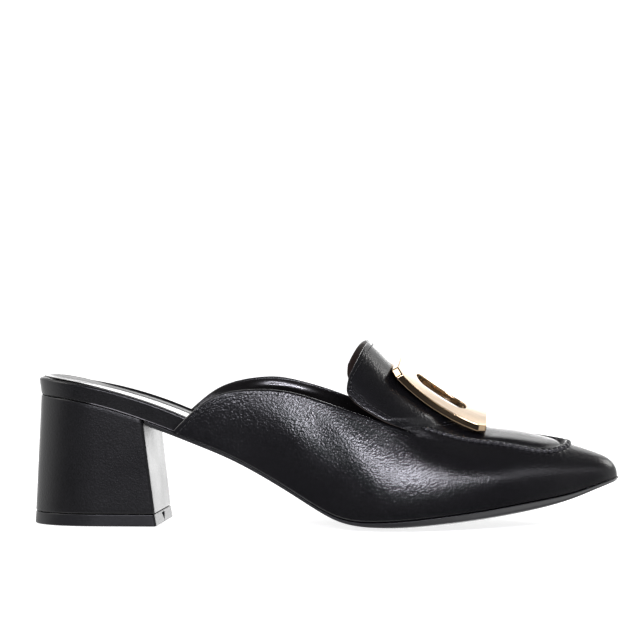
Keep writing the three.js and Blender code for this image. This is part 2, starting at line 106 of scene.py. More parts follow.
def sectionCurve(name):
    size = shoe.get(sectionScale.get(name), 1.0)
    read = spline(formSections["at"], formSections[name])
    return lambda x: read(np.asarray(x, float) / shoe["length"]) * size


lateralHalf, medialHalf, feather, ridge, lean, rise, crown, belly = (
    sectionCurve(name)
    for name in ("lateral", "medial", "feather", "ridge", "lean", "rise", "crown", "belly"))
lateral, medial = -1, 1


def slope(curve, x):
    return curve(x + 0.5) - curve(x - 0.5)


def roundedCorner(turn, roundness):
    out, along = np.maximum(np.cos(turn), 0), np.maximum(np.sin(turn), 0)
    size = (out**roundness + along**roundness)**(1 / roundness)
    return out / size, along / size


def outline(station):
    # where a station lies along the shoe, and how far the outline has narrowed there
    s = np.asarray(station, float)
    toeLength = shoe["length"] - toe["start"]
    backTurn = np.clip((seat["middle"] - s) / seat["middle"], 0, 1) * math.pi / 2
    toeTurn = np.clip((s - toe["start"]) / toeLength, 0, 1) * math.pi / 2
    backOut, backAlong = roundedCorner(backTurn, seat["roundness"])
    toeOut, toeAlong = roundedCorner(toeTurn, toe["roundness"])
    atBack, atToe = s < seat["middle"], s > toe["start"]
    backX = seat["middle"] - (seat["middle"] - seat["back"] + insoleInset) * backAlong
    x = np.where(atBack, backX, np.where(atToe, toe["start"] + toeLength * toeAlong, s))
    narrow = np.where(atBack, backOut, np.where(atToe, toeOut, 1.0))
    return x, narrow, backTurn, toeTurn


def formPoint(station, side, climb):
    # climb runs from 0 at the feather edge to 1 at the ridge
    station, side, climb = np.broadcast_arrays(*(np.asarray(v, float) for v in (station, side, climb)))
    x, narrow = outline(station)[:2]
    ridgeX = x - toe["depth"] * (np.maximum(x - toe["start"], 0) / (shoe["length"] - toe["start"]))**2
    middle = lean(ridgeX)
    half = np.where(side < 0, lateralHalf(x), medialHalf(x))
    foot = np.stack([x, middle + (side * half - middle) * narrow, feather(x)], -1)
    top = np.stack([ridgeX, middle, ridge(ridgeX)], -1)
    footHandle = foot.copy()
    footHandle[..., 1] += side * belly(x) * narrow
    footHandle[..., 2] += rise(x) * (top[..., 2] - foot[..., 2])
    topHandle = top + (foot - top) * crown(x)[..., None]
    topHandle[..., 2] = top[..., 2] + slope(ridge, ridgeX) * (topHandle[..., 0] - ridgeX)
    t = climb[..., None]
    return foot * (1 - t)**3 + 3 * footHandle * t * (1 - t)**2 + 3 * topHandle * t**2 * (1 - t) + top * t**3


def unit(v):
    return v / np.maximum(np.linalg.norm(v, axis=-1, keepdims=True), 1e-9)


def formNormal(station, side, climb):
    station, side, climb = np.broadcast_arrays(*(np.asarray(v, float) for v in (station, side, climb)))
    step, stride, length = 0.01, 0.2, shoe["length"]
    place = np.clip(station, stride, length - np.where(climb > 1 - step, 2 * stride, stride))
    top = climb > 1 - step
    around = np.where(top[..., None],
                      formPoint(place, -side, 1 - step) - formPoint(place, side, 1 - step),
                      formPoint(place, side, np.minimum(climb + step, 1))
                      - formPoint(place, side, np.maximum(climb - step, 0)))
    ahead = formPoint(place + stride, side, climb) - formPoint(place - stride, side, climb)
    across = formPoint(place, medial, climb) - formPoint(place, lateral, climb)
    atTip = (station > length - stride)[..., None]
    ahead = np.where(atTip, -across * side[..., None], ahead)
    return unit(np.cross(ahead, around) * -side[..., None])


def offForm(station, side, climb, distance):
    normal = formNormal(station, side, climb)
    return formPoint(station, side, climb) + normal * np.asarray(distance)[..., None]


def climbTo(station, side, height):
    station, side, height = np.broadcast_arrays(*(np.asarray(v, float) for v in (station, side, height)))
    low, high = np.zeros(station.shape), np.ones(station.shape)
    for _ in range(30):
        middle = (low + high) / 2
        under = formPoint(station, side, middle)[..., 2] < height
        low, high = np.where(under, middle, low), np.where(under, high, middle)
    return low


def smooth(x, start, end):
    t = np.clip((np.asarray(x, float) - start) / (end - start), 0, 1)
    return t * t * (3 - 2 * t)


def mix(a, b, t):
    return a + (b - a) * t


# ---- mesh helpers
def meshFrom(name, points, faces, materials, faceMaterial=None, sharpAngle=None):
    # merges points that coincide, drops collapsed faces, and turns a closed mesh's faces outwards
    points = np.asarray(points, float).reshape(-1, 3)
    _, first, ids = np.unique(np.round(points * 2000).astype(np.int64), axis=0,
                              return_index=True, return_inverse=True)
    ids = ids.reshape(-1)
    kept, slots = [], []
    for n, face in enumerate(faces):
        loop = []
        for v in face:
            v = int(ids[v])
            if not loop or loop[-1] != v:
                loop.append(v)
        if len(loop) > 1 and loop[0] == loop[-1]:
            loop.pop()
        if len(loop) > 2 and len(set(loop)) == len(loop):
            kept.append(loop)
            slots.append(faceMaterial[n] if faceMaterial is not None else 0)
    used = sorted({v for loop in kept for v in loop})
    order = np.zeros(len(first), int)
    order[used] = np.arange(len(used))
    kept = [[int(order[v]) for v in loop] for loop in kept]
    mesh = bpy.data.meshes.new(name)
    mesh.from_pydata(inFrame(points[first][used]).tolist(), [], kept)
    for material in materials:
        mesh.materials.append(material)
    mesh.polygons.foreach_set("material_index", slots)
    work = bmesh.new()
    work.from_mesh(mesh)
    bmesh.ops.recalc_face_normals(work, faces=work.faces)
    work.to_mesh(mesh)
    work.free()
    mesh.shade_smooth()
    if sharpAngle:
        mesh.set_sharp_from_angle(angle=math.radians(sharpAngle))
    piece = bpy.data.objects.new(name, mesh)
    bpy.context.scene.collection.objects.link(piece)
    return piece


def gridFaces(rows, columns, start=0, closed=False):
    # quads of a grid of points laid row after row
    faces = []
    for i in range(rows - 1):
        for j in range(columns if closed else columns - 1):
            k = (j + 1) % columns
            faces.append((start + i * columns + j, start + i * columns + k,
                          start + (i + 1) * columns + k, start + (i + 1) * columns + j))
    return faces


def shellPiece(name, outer, inner, materials, keep=None, bulge=1.0, rimRows=5):
    # a wall between two grids, with its open edges rounded over; faces inside take the second material
    ni, nj = outer.shape[:2]
    flat, flatIn = outer.reshape(-1, 3), inner.reshape(-1, 3)
    _, first, ids = np.unique(np.round(flat * 1000).astype(np.int64), axis=0,
                              return_index=True, return_inverse=True)
    ids = ids.reshape(ni, nj)
    out, back = flat[first], flatIn[first]
    count = len(first)
    swell = np.broadcast_to(np.asarray(bulge, float), (ni, nj)).reshape(-1)[first]
    faces = []
    for i in range(ni - 1):
        for j in range(nj - 1):
            if keep is not None and not keep[i, j]:
                continue
            loop = []
            for v in (ids[i, j], ids[i + 1, j], ids[i + 1, j + 1], ids[i, j + 1]):
                if v not in loop:
                    loop.append(int(v))
            if len(loop) > 2:
                faces.append(loop)
    edges = {(f[k], f[(k + 1) % len(f)]) for f in faces for k in range(len(f))}
    rim = [(a, b) for a, b in edges if (b, a) not in edges]
    away = np.zeros((count, 3))
    for a, b in rim:
        u = np.cross(out[b] - out[a], out[a] - back[a])
        u = u / max(np.linalg.norm(u), 1e-9)
        away[a] += u
        away[b] += u
    away = unit(away)
    points = [out, back]
    slots = [0] * len(faces) + [min(1, len(materials) - 1)] * len(faces)
    allFaces = faces + [[v + count for v in reversed(f)] for f in faces]
    rimPoints = sorted({a for a, b in rim} | {b for a, b in rim})
    place = {v: n for n, v in enumerate(rimPoints)}
    o, k = out[rimPoints], back[rimPoints]
    centre, half = (o + k) / 2, (o - k) / 2
    thick = np.linalg.norm(half, axis=1, keepdims=True)
    for r in range(1, rimRows):
        turn = math.pi * r / rimRows
        points.append(centre + half * math.cos(turn)
                      + away[rimPoints] * thick * math.sin(turn) * swell[rimPoints][:, None])

    def rimIndex(v, r):
        if r == 0:
            return v
        if r == rimRows:
            return v + count
        return 2 * count + (r - 1) * len(rimPoints) + place[v]

    for a, b in rim:
        for r in range(rimRows):
            allFaces.append([rimIndex(b, r), rimIndex(a, r), rimIndex(a, r + 1), rimIndex(b, r + 1)])
            slots.append(0)
    return meshFrom(name, np.concatenate(points), allFaces, materials, slots)


def handOver(piece, slotName, *nodes):
    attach(piece, "root")
    if nodes:
        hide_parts(*nodes)
    print("mule:", piece.name, "made,", len(piece.data.polygons), "faces")


# ---- materials
def newMaterial(name):
    material = bpy.data.materials.new(name)
    material.use_nodes = True
    nodes = material.node_tree.nodes
    return material, nodes, material.node_tree.links, nodes["Principled BSDF"]


def node(nodes, kind, **settings):
    made = nodes.new(kind)
    for key, value in settings.items():
        if key in made.bl_rna.properties:
            setattr(made, key, value)
        else:
            made.inputs[key.replace("_", " ")].default_value = value
    return made


def mapped(nodes, links, source, fromMin, fromMax, toMin, toMax, **settings):
    # a value carried from one range to another
    made = node(nodes, "ShaderNodeMapRange", **settings)
    ends = {"From Min": fromMin, "From Max": fromMax, "To Min": toMin, "To Max": toMax}
    for socket, value in ends.items():
        made.inputs[socket].default_value = value
    links.new(source, made.inputs["Value"])
    return made.outputs["Result"]


def toned(nodes, links, source, dark, pale, start=0.0, end=1.0):
    # two colours blended along a value
    made = node(nodes, "ShaderNodeValToRGB")
    for stop, color, position in zip(made.color_ramp.elements, (dark, pale), (start, end)):
        stop.position = position
        stop.color = (*color, 1)
    links.new(source, made.inputs["Fac"])
    return made.outputs["Color"]


def bumped(nodes, links, source, depth, normal=None):
    # relief of a given depth, laid over relief made before
    made = node(nodes, "ShaderNodeBump", Strength=1.0, Distance=depth)
    links.new(source, made.inputs["Height"])
    if normal is not None:
        links.new(normal, made.inputs["Normal"])
    return made.outputs["Normal"]


def calfLeather(name, look):
    # calf with its fine grain, soft crumple and uneven dye; its sharpest rims are painted paler, a painted
    # highlight that stands in for the thin light line a rim catches
    material, nodes, links, shader = newMaterial(name)
    place = node(nodes, "ShaderNodeTexCoord").outputs["Object"]
    grain = node(nodes, "ShaderNodeTexVoronoi", feature="F1", Scale=look["grainScale"])
    pores = node(nodes, "ShaderNodeTexNoise", Scale=look["poreScale"], Detail=1.0, Roughness=0.6)
    crumple = node(nodes, "ShaderNodeTexNoise", Scale=look["crumpleScale"], Detail=2.0, Roughness=0.6,
                   Distortion=0.5)
    cloud = node(nodes, "ShaderNodeTexNoise", Scale=look["cloudScale"], Detail=3.0)
    crease = node(nodes, "ShaderNodeTexNoise", Scale=look["creaseScale"], Detail=2.0, Roughness=0.5,
                  Distortion=0.8)
    stretch = node(nodes, "ShaderNodeMapping", vector_type="TEXTURE", Scale=look["creaseStretch"],
                   Rotation=look["creaseTurn"])
    links.new(place, stretch.inputs["Vector"])
    links.new(stretch.outputs["Vector"], crease.inputs["Vector"])
    for texture in (grain, pores, crumple, cloud):
        links.new(place, texture.inputs["Vector"])
    relief = None
    for source, depth in ((crumple.outputs[0], look["crumpleDepth"]),
                          (crease.outputs[0], look["creaseDepth"]),
                          (grain.outputs["Distance"], look["grainDepth"]),
                          (pores.outputs[0], look["poreDepth"])):
        relief = bumped(nodes, links, source, depth, relief)
    links.new(relief, shader.inputs["Normal"])
    low, high = look["roughness"] - look["roughnessPlay"], look["roughness"] + look["roughnessPlay"]
    rough = mapped(nodes, links, cloud.outputs[0], 0.3, 0.7, low, high)
    links.new(rough, shader.inputs["Roughness"])
    dye = toned(nodes, links, crumple.outputs[0], look["dark"], look["pale"], 0.3, 0.75)
    # painted highlight: where the surface is sharpest (its rims) the colour is blended towards a pale grey,
    # standing in for the light those edges reflect
    edges = node(nodes, "ShaderNodeNewGeometry").outputs["Pointiness"]
    paintedRimHighlight = mapped(nodes, links, edges, look["rimHighlightFrom"], look["rimHighlightTo"], 0.0, look["rimHighlightShare"])
    blend = node(nodes, "ShaderNodeMix", data_type="RGBA")
    links.new(paintedRimHighlight, blend.inputs["Factor"])
    links.new(dye, blend.inputs["A"])
    blend.inputs["B"].default_value = (*look["rimHighlightColor"], 1)
    links.new(blend.outputs["Result"], shader.inputs["Base Color"])
    shader.inputs["Coat Weight"].default_value = look["coat"]
    shader.inputs["Coat Roughness"].default_value = look["coatRoughness"]
    return material


# the pale rim colour, its share and its pointiness range paint a highlight on the sharpest rims
leatherLook = {
    "dark": (0.0042, 0.0042, 0.0048), "pale": (0.0075, 0.0073, 0.0085), "rimHighlightColor": (0.24, 0.23, 0.25),
    "rimHighlightShare": 0.9, "rimHighlightFrom": 0.59, "rimHighlightTo": 0.72, "roughness": 0.19, "roughnessPlay": 0.03,
    "coat": 0.0, "coatRoughness": 0.2, "grainScale": 1150.0, "grainDepth": 0.00005, "poreScale": 1955.0,
    "poreDepth": 0.000012, "crumpleScale": 1180.0, "crumpleDepth": 0.000045, "cloudScale": 55.0,
    "creaseScale": 660.0, "creaseDepth": 0.00005, "creaseStretch": (2.1, 1.0, 0.75),
    "creaseTurn": (0.0, 0.8, 0.0),
}
calf = calfLeather("blackCalf", leatherLook)
heelCalf = calfLeather("heelCalf", {
    **leatherLook, "roughness": 0.34, "crumpleDepth": 0.00003, "creaseDepth": 0.00002,
})
bandCalf = calfLeather("insoleCalf", {
    **leatherLook, "roughness": 0.32, "crumpleDepth": 0.00004, "creaseDepth": 0.00002,
})
liningCalf = calfLeather("liningLeather", {
    **leatherLook, "dark": (0.006, 0.0055, 0.0055), "pale": (0.011, 0.010, 0.010), "roughness": 0.26,
    "coat": 0.5, "coatRoughness": 0.12, "grainDepth": 0.00002, "crumpleDepth": 0.00002,
    "creaseDepth": 0.00001,
})
tongueLining = calfLeather("tongueLining", {
    **leatherLook, "dark": (0.022, 0.013, 0.011), "pale": (0.04, 0.024, 0.02), "roughness": 0.5,
    "crumpleDepth": 0.00005, "creaseDepth": 0.00002,
})
beadCalf = calfLeather("beadLeather", {
    **leatherLook, "dark": (0.012, 0.012, 0.014), "pale": (0.03, 0.029, 0.033), "roughness": 0.24,
})


def polishedGold(name, look):
    # bright metal, a little wavy, with hairline scratches along it and faint smudges
    material, nodes, links, shader = newMaterial(name)
    place = node(nodes, "ShaderNodeTexCoord").outputs["Object"]
    wave = node(nodes, "ShaderNodeTexNoise", Scale=look["waveScale"], Detail=2.0)
    smudge = node(nodes, "ShaderNodeTexNoise", Scale=look["smudgeScale"], Detail=5.0, Roughness=0.65)
    scratch = node(nodes, "ShaderNodeTexNoise", Scale=look["scratchScale"], Detail=2.0)
    stretch = node(nodes, "ShaderNodeMapping", Scale=look["scratchStretch"])
    links.new(place, stretch.inputs["Vector"])
    links.new(stretch.outputs["Vector"], scratch.inputs["Vector"])
    for texture in (wave, smudge):
        links.new(place, texture.inputs["Vector"])
    wavy = bumped(nodes, links, wave.outputs[0], look["waveDepth"])
    links.new(bumped(nodes, links, scratch.outputs[0], look["scratchDepth"], wavy), shader.inputs["Normal"])
    rough = mapped(nodes, links, smudge.outputs[0], 0.35, 0.7, look["roughness"],
                   look["roughness"] + look["smudge"])
    links.new(rough, shader.inputs["Roughness"])
    tone = toned(nodes, links, smudge.outputs[0], look["deep"], look["bright"])
    links.new(tone, shader.inputs["Base Color"])
    shader.inputs["Metallic"].default_value = 1.0
    return material


gold = polishedGold("paleGold", {
    "deep": (0.62, 0.44, 0.27), "bright": (0.68, 0.51, 0.34), "roughness": 0.09, "smudge": 0.07,
    "waveScale": 45.0, "waveDepth": 0.0003, "smudgeScale": 130.0, "scratchScale": 2600.0,
    "scratchDepth": 0.000004, "scratchStretch": (0.04, 1.0, 1.0),
})


def edgePaint(name, look):
    # a painted or moulded edge: even colour with fine specks and slight waves
    material, nodes, links, shader = newMaterial(name)
    place = node(nodes, "ShaderNodeTexCoord").outputs["Object"]
    specks = node(nodes, "ShaderNodeTexNoise", Scale=look["speckScale"], Detail=4.0, Roughness=0.7)
    waves = node(nodes, "ShaderNodeTexNoise", Scale=look["waveScale"], Detail=2.0)
    for texture in (specks, waves):
        links.new(place, texture.inputs["Vector"])
    links.new(bumped(nodes, links, specks.outputs[0], look["speckDepth"]), shader.inputs["Normal"])
    tone = toned(nodes, links, waves.outputs[0], look["dark"], look["pale"], 0.35, 0.7)
    links.new(tone, shader.inputs["Base Color"])
    rough = mapped(nodes, links, specks.outputs[0], 0.0, 1.0, look["roughness"] - 0.08,
                   look["roughness"] + 0.08)
    links.new(rough, shader.inputs["Roughness"])
    return material


soleEdge = edgePaint("soleEdgePaint", {
    "dark": (0.007, 0.007, 0.008), "pale": (0.012, 0.012, 0.014), "roughness": 0.36, "speckScale": 900.0,
    "speckDepth": 0.00005, "waveScale": 80.0,
})
liftRubber = edgePaint("liftRubber", {
    "dark": (0.005, 0.005, 0.0058), "pale": (0.009, 0.009, 0.0105), "roughness": 0.38, "speckScale": 1100.0,
    "speckDepth": 0.00006, "waveScale": 90.0,
})
thread = edgePaint("waxedThread", {
    "dark": (0.003, 0.003, 0.0035), "pale": (0.008, 0.008, 0.009), "roughness": 0.5, "speckScale": 4000.0,
    "speckDepth": 0.00003, "waveScale": 700.0,
})
print("mule: materials made")

# ---- upper
topline = {
    "corner": {lateral: 60.5, medial: 55.0}, "throat": 158.0, "tipClimb": 0.55,
    "along": [0, .07, .15, .24, .34, .42, .52, .64, .77, 1],
    lateral: [.551, .646, .729, .772, .786, .785, .766, .719, .661, .554],
    medial: [.581, .666, .755, .811, .837, .841, .816, .767, .7, .593],
}
toplineHeight = {side: spline(topline["along"], topline[side]) for side in (lateral, medial)}
upperLook = {
    "quarterColumns": 110, "quarterCrowding": 1.1, "vampColumns": 90, "toeColumns": 44, "sideRows": 52,
    "topRows": 46, "edgeDrop": 0.55, "edgeBulge": 0.6, "creaseStart": 0.08, "liningRoll": 0.8,
    "rollBelow": 3.4, "rollWidth": 1.4, "rollFrom": 84, "rollTo": 122, "rollFade": 12,
}


def toplineAlong(station, side):
    corner = topline["corner"][side]
    return np.clip((station - corner) / (topline["throat"] - corner), 0, 1)


def edgeClimb(station, side):
    height = toplineHeight[side](toplineAlong(station, side)) * shoe["instepHeight"] - upperLook["edgeDrop"]
    own = climbTo(np.minimum(station, topline["throat"]), side, height)
    ahead = np.clip((station - topline["throat"]) / (shoe["length"] - topline["throat"]), 0, 1)
    return mix(own, topline["tipClimb"], ahead)


# the seam round the apron, in plan, from behind the ring on the outer side round the toe to the inner side
apronSeam = {
    "x": [150, 158, 164, 170, 176, 183, 190, 196.5, 203, 208.6, 213.3, 217, 219.8, 221.9, 222.8, 222.6,
          221, 218.1, 214, 208.3, 202, 194.5, 186, 177, 168, 160, 150],
    "y": [-27.5, -25.3, -23, -21, -19.2, -17.4, -16.1, -15.6, -14.9, -13.5, -11.6, -9.2, -6.3, -2.9,
          0.9, 4.4, 7.4, 10.1, 12.5, 15, 17.9, 20.4, 22.8, 24.6, 27.2, 29.8, 33.2],
}
seamCount = 900
seamSteps = np.arange(len(apronSeam["x"]))
seamPlan = np.stack([spline(seamSteps, apronSeam[k])(np.linspace(0, seamSteps[-1], seamCount))
                     for k in ("x", "y")], -1)
seamRun = np.concatenate([[0], np.cumsum(np.linalg.norm(np.diff(seamPlan, axis=0), axis=1))])


def seamDistance(x, y):
    # plan distance to the apron's seam, negative inside it, and how far along the seam the nearest point is
    flat = np.stack([np.ravel(x), np.ravel(y)], -1)
    away, run = np.zeros(len(flat)), np.zeros(len(flat))
    batch = 4000
    for n in range(0, len(flat), batch):
        part = flat[n:n + batch]
        d = np.linalg.norm(part[:, None] - seamPlan[None], axis=2)
        nearest = d.argmin(1)
        away[n:n + batch] = d[np.arange(len(part)), nearest]
        run[n:n + batch] = seamRun[nearest]
    a, b = seamPlan, np.roll(seamPlan, -1, axis=0)
    inside = np.zeros(len(flat), bool)
    for (x0, y0), (x1, y1) in zip(a, b):
        if y0 != y1:
            hit = (y0 > flat[:, 1]) != (y1 > flat[:, 1])
            inside ^= hit & (flat[:, 0] < (x1 - x0) * (flat[:, 1] - y0) / (y1 - y0) + x0)
    return np.where(inside, -away, away).reshape(np.shape(x)), run.reshape(np.shape(x))


gathers = {
    "pitch": 2.7, "valley": 1.1, "valleyWidth": 2.8, "flatShare": 0.55, "slope": 0.12, "slopeGrowth": 0.004,
    "shoulder": 0.35, "shoulderWidth": 1.7, "pucker": 0.13, "puckerReach": 3.2, "start": 160.0,
    "full": 168.0, "lowest": 24.0, "high": 29.0, "mostDown": -1.5, "mostUp": 2.5, "unevenness": 1.2,
    "unevenRate": 0.31, "turnFrom": -0.9, "turnTo": 0.5,
}

# soft troughs (minus) and ridges (plus) on the outside, each from one place to another at x and height
creases = [
    {"side": lateral, "x": (96, 118), "z": (52, 30), "width": 7.0, "rise": 0.22},
    {"side": lateral, "x": (112, 128), "z": (53, 34), "width": 5.0, "rise": -0.2},
    {"side": lateral, "x": (124, 143), "z": (48, 26), "width": 6.0, "rise": 0.2},
    {"side": lateral, "x": (140, 156), "z": (40, 18), "width": 5.0, "rise": -0.16},
    {"side": lateral, "x": (150, 172), "z": (34, 20), "width": 6.0, "rise": 0.16},
    {"side": lateral, "x": (176, 204), "z": (24, 19), "width": 4.0, "rise": 0.14},
    {"side": lateral, "x": (80, 98), "z": (40, 22), "width": 7.0, "rise": -0.15},
    {"side": medial, "x": (100, 122), "z": (56, 34), "width": 7.0, "rise": 0.2},
    {"side": medial, "x": (118, 134), "z": (54, 32), "width": 6.0, "rise": -0.2},
    {"side": medial, "x": (134, 152), "z": (46, 24), "width": 6.0, "rise": 0.18},
    {"side": medial, "x": (152, 176), "z": (38, 20), "width": 6.0, "rise": -0.15},
]


def creaseRise(points, side):
    # each crease is full along its middle and fades at both ends
    total = np.zeros(points.shape[:-1])
    for c in creases:
        a, b = np.array([c["x"][0], c["z"][0]]), np.array([c["x"][1], c["z"][1]])
        spot = points[..., [0, 2]] - a
        t = np.clip(spot @ (b - a) / ((b - a) @ (b - a)), 0, 1)
        d = np.linalg.norm(spot - t[..., None] * (b - a), axis=-1)
        fade = np.sin(math.pi * (t * 0.8 + 0.1))
        total += np.where(side == c["side"], c["rise"] * fade * np.exp(-(d / c["width"])**2), 0)
    return total


def upperRise(points, side):
    # how far the outer leather stands off the form: creases, the flat apron and the gathers round it
    d, run = seamDistance(points[..., 0], points[..., 1])
    rear = smooth(points[..., 0], gathers["start"], gathers["full"])
    high = smooth(points[..., 2], gathers["lowest"], gathers["high"])
    deep = np.maximum(-d, 0)
    across = np.abs(points[..., 1] - lean(points[..., 0]))
    flat = ridge(points[..., 0]) - across * (gathers["slope"] + gathers["slopeGrowth"] * across)
    inside = (gathers["flatShare"] * np.clip(flat - points[..., 2], gathers["mostDown"], gathers["mostUp"])
              - gathers["valley"] * np.exp(-(deep / gathers["valleyWidth"])**2))
    uneven = gathers["unevenness"] * np.sin(run * gathers["unevenRate"])
    wave = 0.5 + 0.5 * np.sin(2 * math.pi * run / gathers["pitch"] + uneven)
    outside = (gathers["shoulder"] * np.exp(-(d / gathers["shoulderWidth"])**2)
               + gathers["pucker"] * (wave - 0.5) * np.exp(-(d / gathers["puckerReach"])**2))
    turnover = smooth(d, gathers["turnFrom"], gathers["turnTo"])
    return creaseRise(points, side) + (inside * (1 - turnover) + outside * turnover) * rear * high


def liningRoll(station, below):
    # the soft roll of the padded lining, a little under the collar's edge
    fade = upperLook["rollFade"]
    along = (smooth(station, upperLook["rollFrom"], upperLook["rollFrom"] + fade)
             * (1 - smooth(station, upperLook["rollTo"] - fade, upperLook["rollTo"])))
    hump = np.exp(-((below - upperLook["rollBelow"]) / upperLook["rollWidth"])**2)
    return upperLook["liningRoll"] * hump * along


def makeUpper():
    q, v, t = upperLook["quarterColumns"], upperLook["vampColumns"], upperLook["toeColumns"]
    s, r = upperLook["sideRows"], upperLook["topRows"]
    half = s + r
    grids = []
    for side in (lateral, medial):
        corner = topline["corner"][side]
        stations = np.concatenate([
            mix(corner, topline["throat"], (np.arange(q) / q)**upperLook["quarterCrowding"]),
            mix(topline["throat"], toe["start"], np.arange(v) / v),
            mix(toe["start"], shoe["length"], np.arange(t + 1) / t)])
        atEdge = edgeClimb(stations, side)[:, None]
        rows = np.arange(half + 1)[None]
        climb = np.where(rows <= s, atEdge * np.minimum(rows / s, 1), mix(atEdge, 1.0, (rows - s) / r))
        climb[:, -1] = 1.0
        station = np.broadcast_to(stations[:, None], climb.shape)
        outer = formPoint(station, side, climb)
        normal = formNormal(station, side, climb)
        edgeZ = formPoint(stations[:, None], side, atEdge)[..., 2]
        inner = outer - normal * (wall + liningRoll(station, edgeZ - outer[..., 2]))[..., None]
        inner[:, 0, 2] = outer[:, 0, 2]
        lift = upperRise(outer, np.full(climb.shape, side)) * smooth(climb, 0.0, upperLook["creaseStart"])
        lift[-1] = 0
        outer = outer + normal * lift[..., None]
        if side == medial:
            outer, inner = outer[:, ::-1], inner[:, ::-1]
        grids.append((outer, inner))
    outer = np.concatenate([grids[0][0], grids[1][0][:, 1:]], 1)
    inner = np.concatenate([grids[0][1], grids[1][1][:, 1:]], 1)
    ni, nj = outer.shape[0] - 1, outer.shape[1] - 1
    keep = np.ones((ni, nj), bool)
    keep[:q, s:nj - s] = False
    bulge = np.full(outer.shape[:2], upperLook["edgeBulge"])
    bulge[:, 0] = bulge[:, -1] = 0.0
    piece = shellPiece("mule_upper", outer, inner, [calf, liningCalf], keep, bulge)
    handOver(piece, "upper_leather", "upper")


makeUpper()

# ---- tongue
tongueRows = {
    "up": [0, .15, .35, .6, .8, .93, 1],
    "ridgeX": [180.5, 174.7, 165, 153, 145, 140.5, 138.4],
    "lateralX": [157.5, 150, 143.4, 137, 133.6, 132.4, 132.9],
    "lateralZ": [40.6, 43.4, 46.8, 50.9, 54.3, 57.8, 61.5],
    "medialX": [157.5, 149.5, 142, 135, 130.5, 129, 129.3],
    "medialZ": [44, 47, 50.5, 54.5, 58.5, 62.5, 66],
}
tongueLook = {
    "columns": 90, "rows": 120, "outer": 1.1, "split": 0.12, "thickness": 2.0, "frontThickness": 0.4,
    "thickFrom": 0.22, "rim": 0.35, "width": 60.0, "bow": {lateral: 2.0, medial: 1.2}, "under": 0.36,
    "bulge": 0.9,
}
tongueRead = {k: spline(tongueRows["up"], v) for k, v in tongueRows.items() if k != "up"}


def tonguePlace(up, across):
    # up from the front edge on the vamp to the top edge, across from the outer side to the inner
    up, across = np.broadcast_arrays(np.asarray(up, float), np.asarray(across, float))
    side = np.where(across <= 0, lateral, medial)
    sideX = np.where(across <= 0, tongueRead["lateralX"](up), tongueRead["medialX"](up))
    sideZ = np.where(across <= 0, tongueRead["lateralZ"](up), tongueRead["medialZ"](up))
    reach = np.abs(across)
    straight, bowed = tongueLook["bow"][lateral], tongueLook["bow"][medial]
    bow = np.where(across <= 0, straight, mix(straight, bowed, up))
    station = mix(tongueRead["ridgeX"](up), sideX, reach**bow)
    return station, side, 1 - (1 - climbTo(sideX, side, sideZ)) * reach


def tongueThickness(up):
    full = smooth(up, 0.0, tongueLook["thickFrom"])
    return mix(tongueLook["frontThickness"], tongueLook["thickness"], full)


def tonguePoint(up, across, over):
    # over: height above the tongue's outer face
    station, side, climb = tonguePlace(up, across)
    return offForm(station, side, climb, gap + tongueThickness(up) + over)


def makeTongue():
    up = 1 - np.arange(tongueLook["columns"] + 1)[:, None] / tongueLook["columns"]
    across = (2 * np.arange(tongueLook["rows"] + 1) / tongueLook["rows"] - 1)[None]
    up, across = np.broadcast_arrays(up, across)
    shrink = 1 - tongueLook["rim"] / tongueLook["width"]
    station, side, climb = tonguePlace(up, across * shrink)
    form, normal = formPoint(station, side, climb), formNormal(station, side, climb)
    thick = tongueThickness(up)
    top = gap + thick
    split = top - tongueLook["outer"] * thick / tongueLook["thickness"]

    def at(height):
        return form + normal * height[..., None]

    leather = shellPiece("tongue_leather", at(top), at(split + tongueLook["split"] / 2), [calf],
                         bulge=tongueLook["bulge"])
    handOver(leather, "upper_leather", "tongue")
    lining = shellPiece("tongue_lining", at(split - tongueLook["split"] / 2),
                        at(np.full(up.shape, tongueLook["under"])), [tongueLining],
                        bulge=tongueLook["bulge"])
    handOver(lining, "insole_leather")


makeTongue()

# ---- where the vamp laps over the tongue's front edge
lapLook = {
    "back": 0.06, "front": 20.0, "leather": 0.3, "columns": 110, "rows": 16, "turn": 0.3, "meets": 0.22,
    "endShare": 0.16, "endTurn": 0.5, "sink": 0.12, "thick": 0.5, "over": 0.03, "blend": 0.75, "bulge": 0.8,
}


def makeLap():
    # the first rows lie on the tongue, the rest run down into the vamp, and both ends fade out
    across = np.linspace(-1, 1, lapLook["columns"] + 1)[None]
    rows = np.arange(lapLook["rows"] + 1)[:, None] / lapLook["rows"]
    turn = lapLook["turn"]
    station, side, climb = tonguePlace(np.zeros_like(across), across)
    backStation, _, backClimb = tonguePlace(np.full_like(across, lapLook["back"]), across)
    overTongue, downVamp = rows / turn, (rows - turn) / (1 - turn)
    s = np.where(rows < turn, mix(backStation, station, overTongue),
                 mix(station, station + lapLook["front"], downVamp))
    c = np.where(rows < turn, mix(backClimb, climb, overTongue), climb)
    side = np.broadcast_to(side, s.shape)
    form, normal = formPoint(s, side, c), formNormal(s, side, c)
    onTongue = gap + tongueThickness(np.maximum(lapLook["back"] * (1 - overTongue), 0)) + lapLook["over"]
    vamp = upperRise(form, side) - lapLook["sink"]
    outer = mix(onTongue + lapLook["leather"], vamp, smooth(rows, lapLook["meets"], 1.0))
    ends = smooth(1 - np.abs(across), 0.0, lapLook["endShare"])
    outer = mix(np.minimum(outer, vamp), outer, np.maximum(ends, 1 - smooth(rows, turn, lapLook["endTurn"])))
    inner = mix(onTongue, vamp + lapLook["sink"] - lapLook["thick"], smooth(rows, turn, lapLook["blend"]))
    inner = np.minimum(inner, outer - lapLook["leather"])
    piece = shellPiece("vamp_lap", form + normal * outer[..., None], form + normal * inner[..., None],
                       [calf], bulge=lapLook["bulge"])
    handOver(piece, "upper_leather")


makeLap()

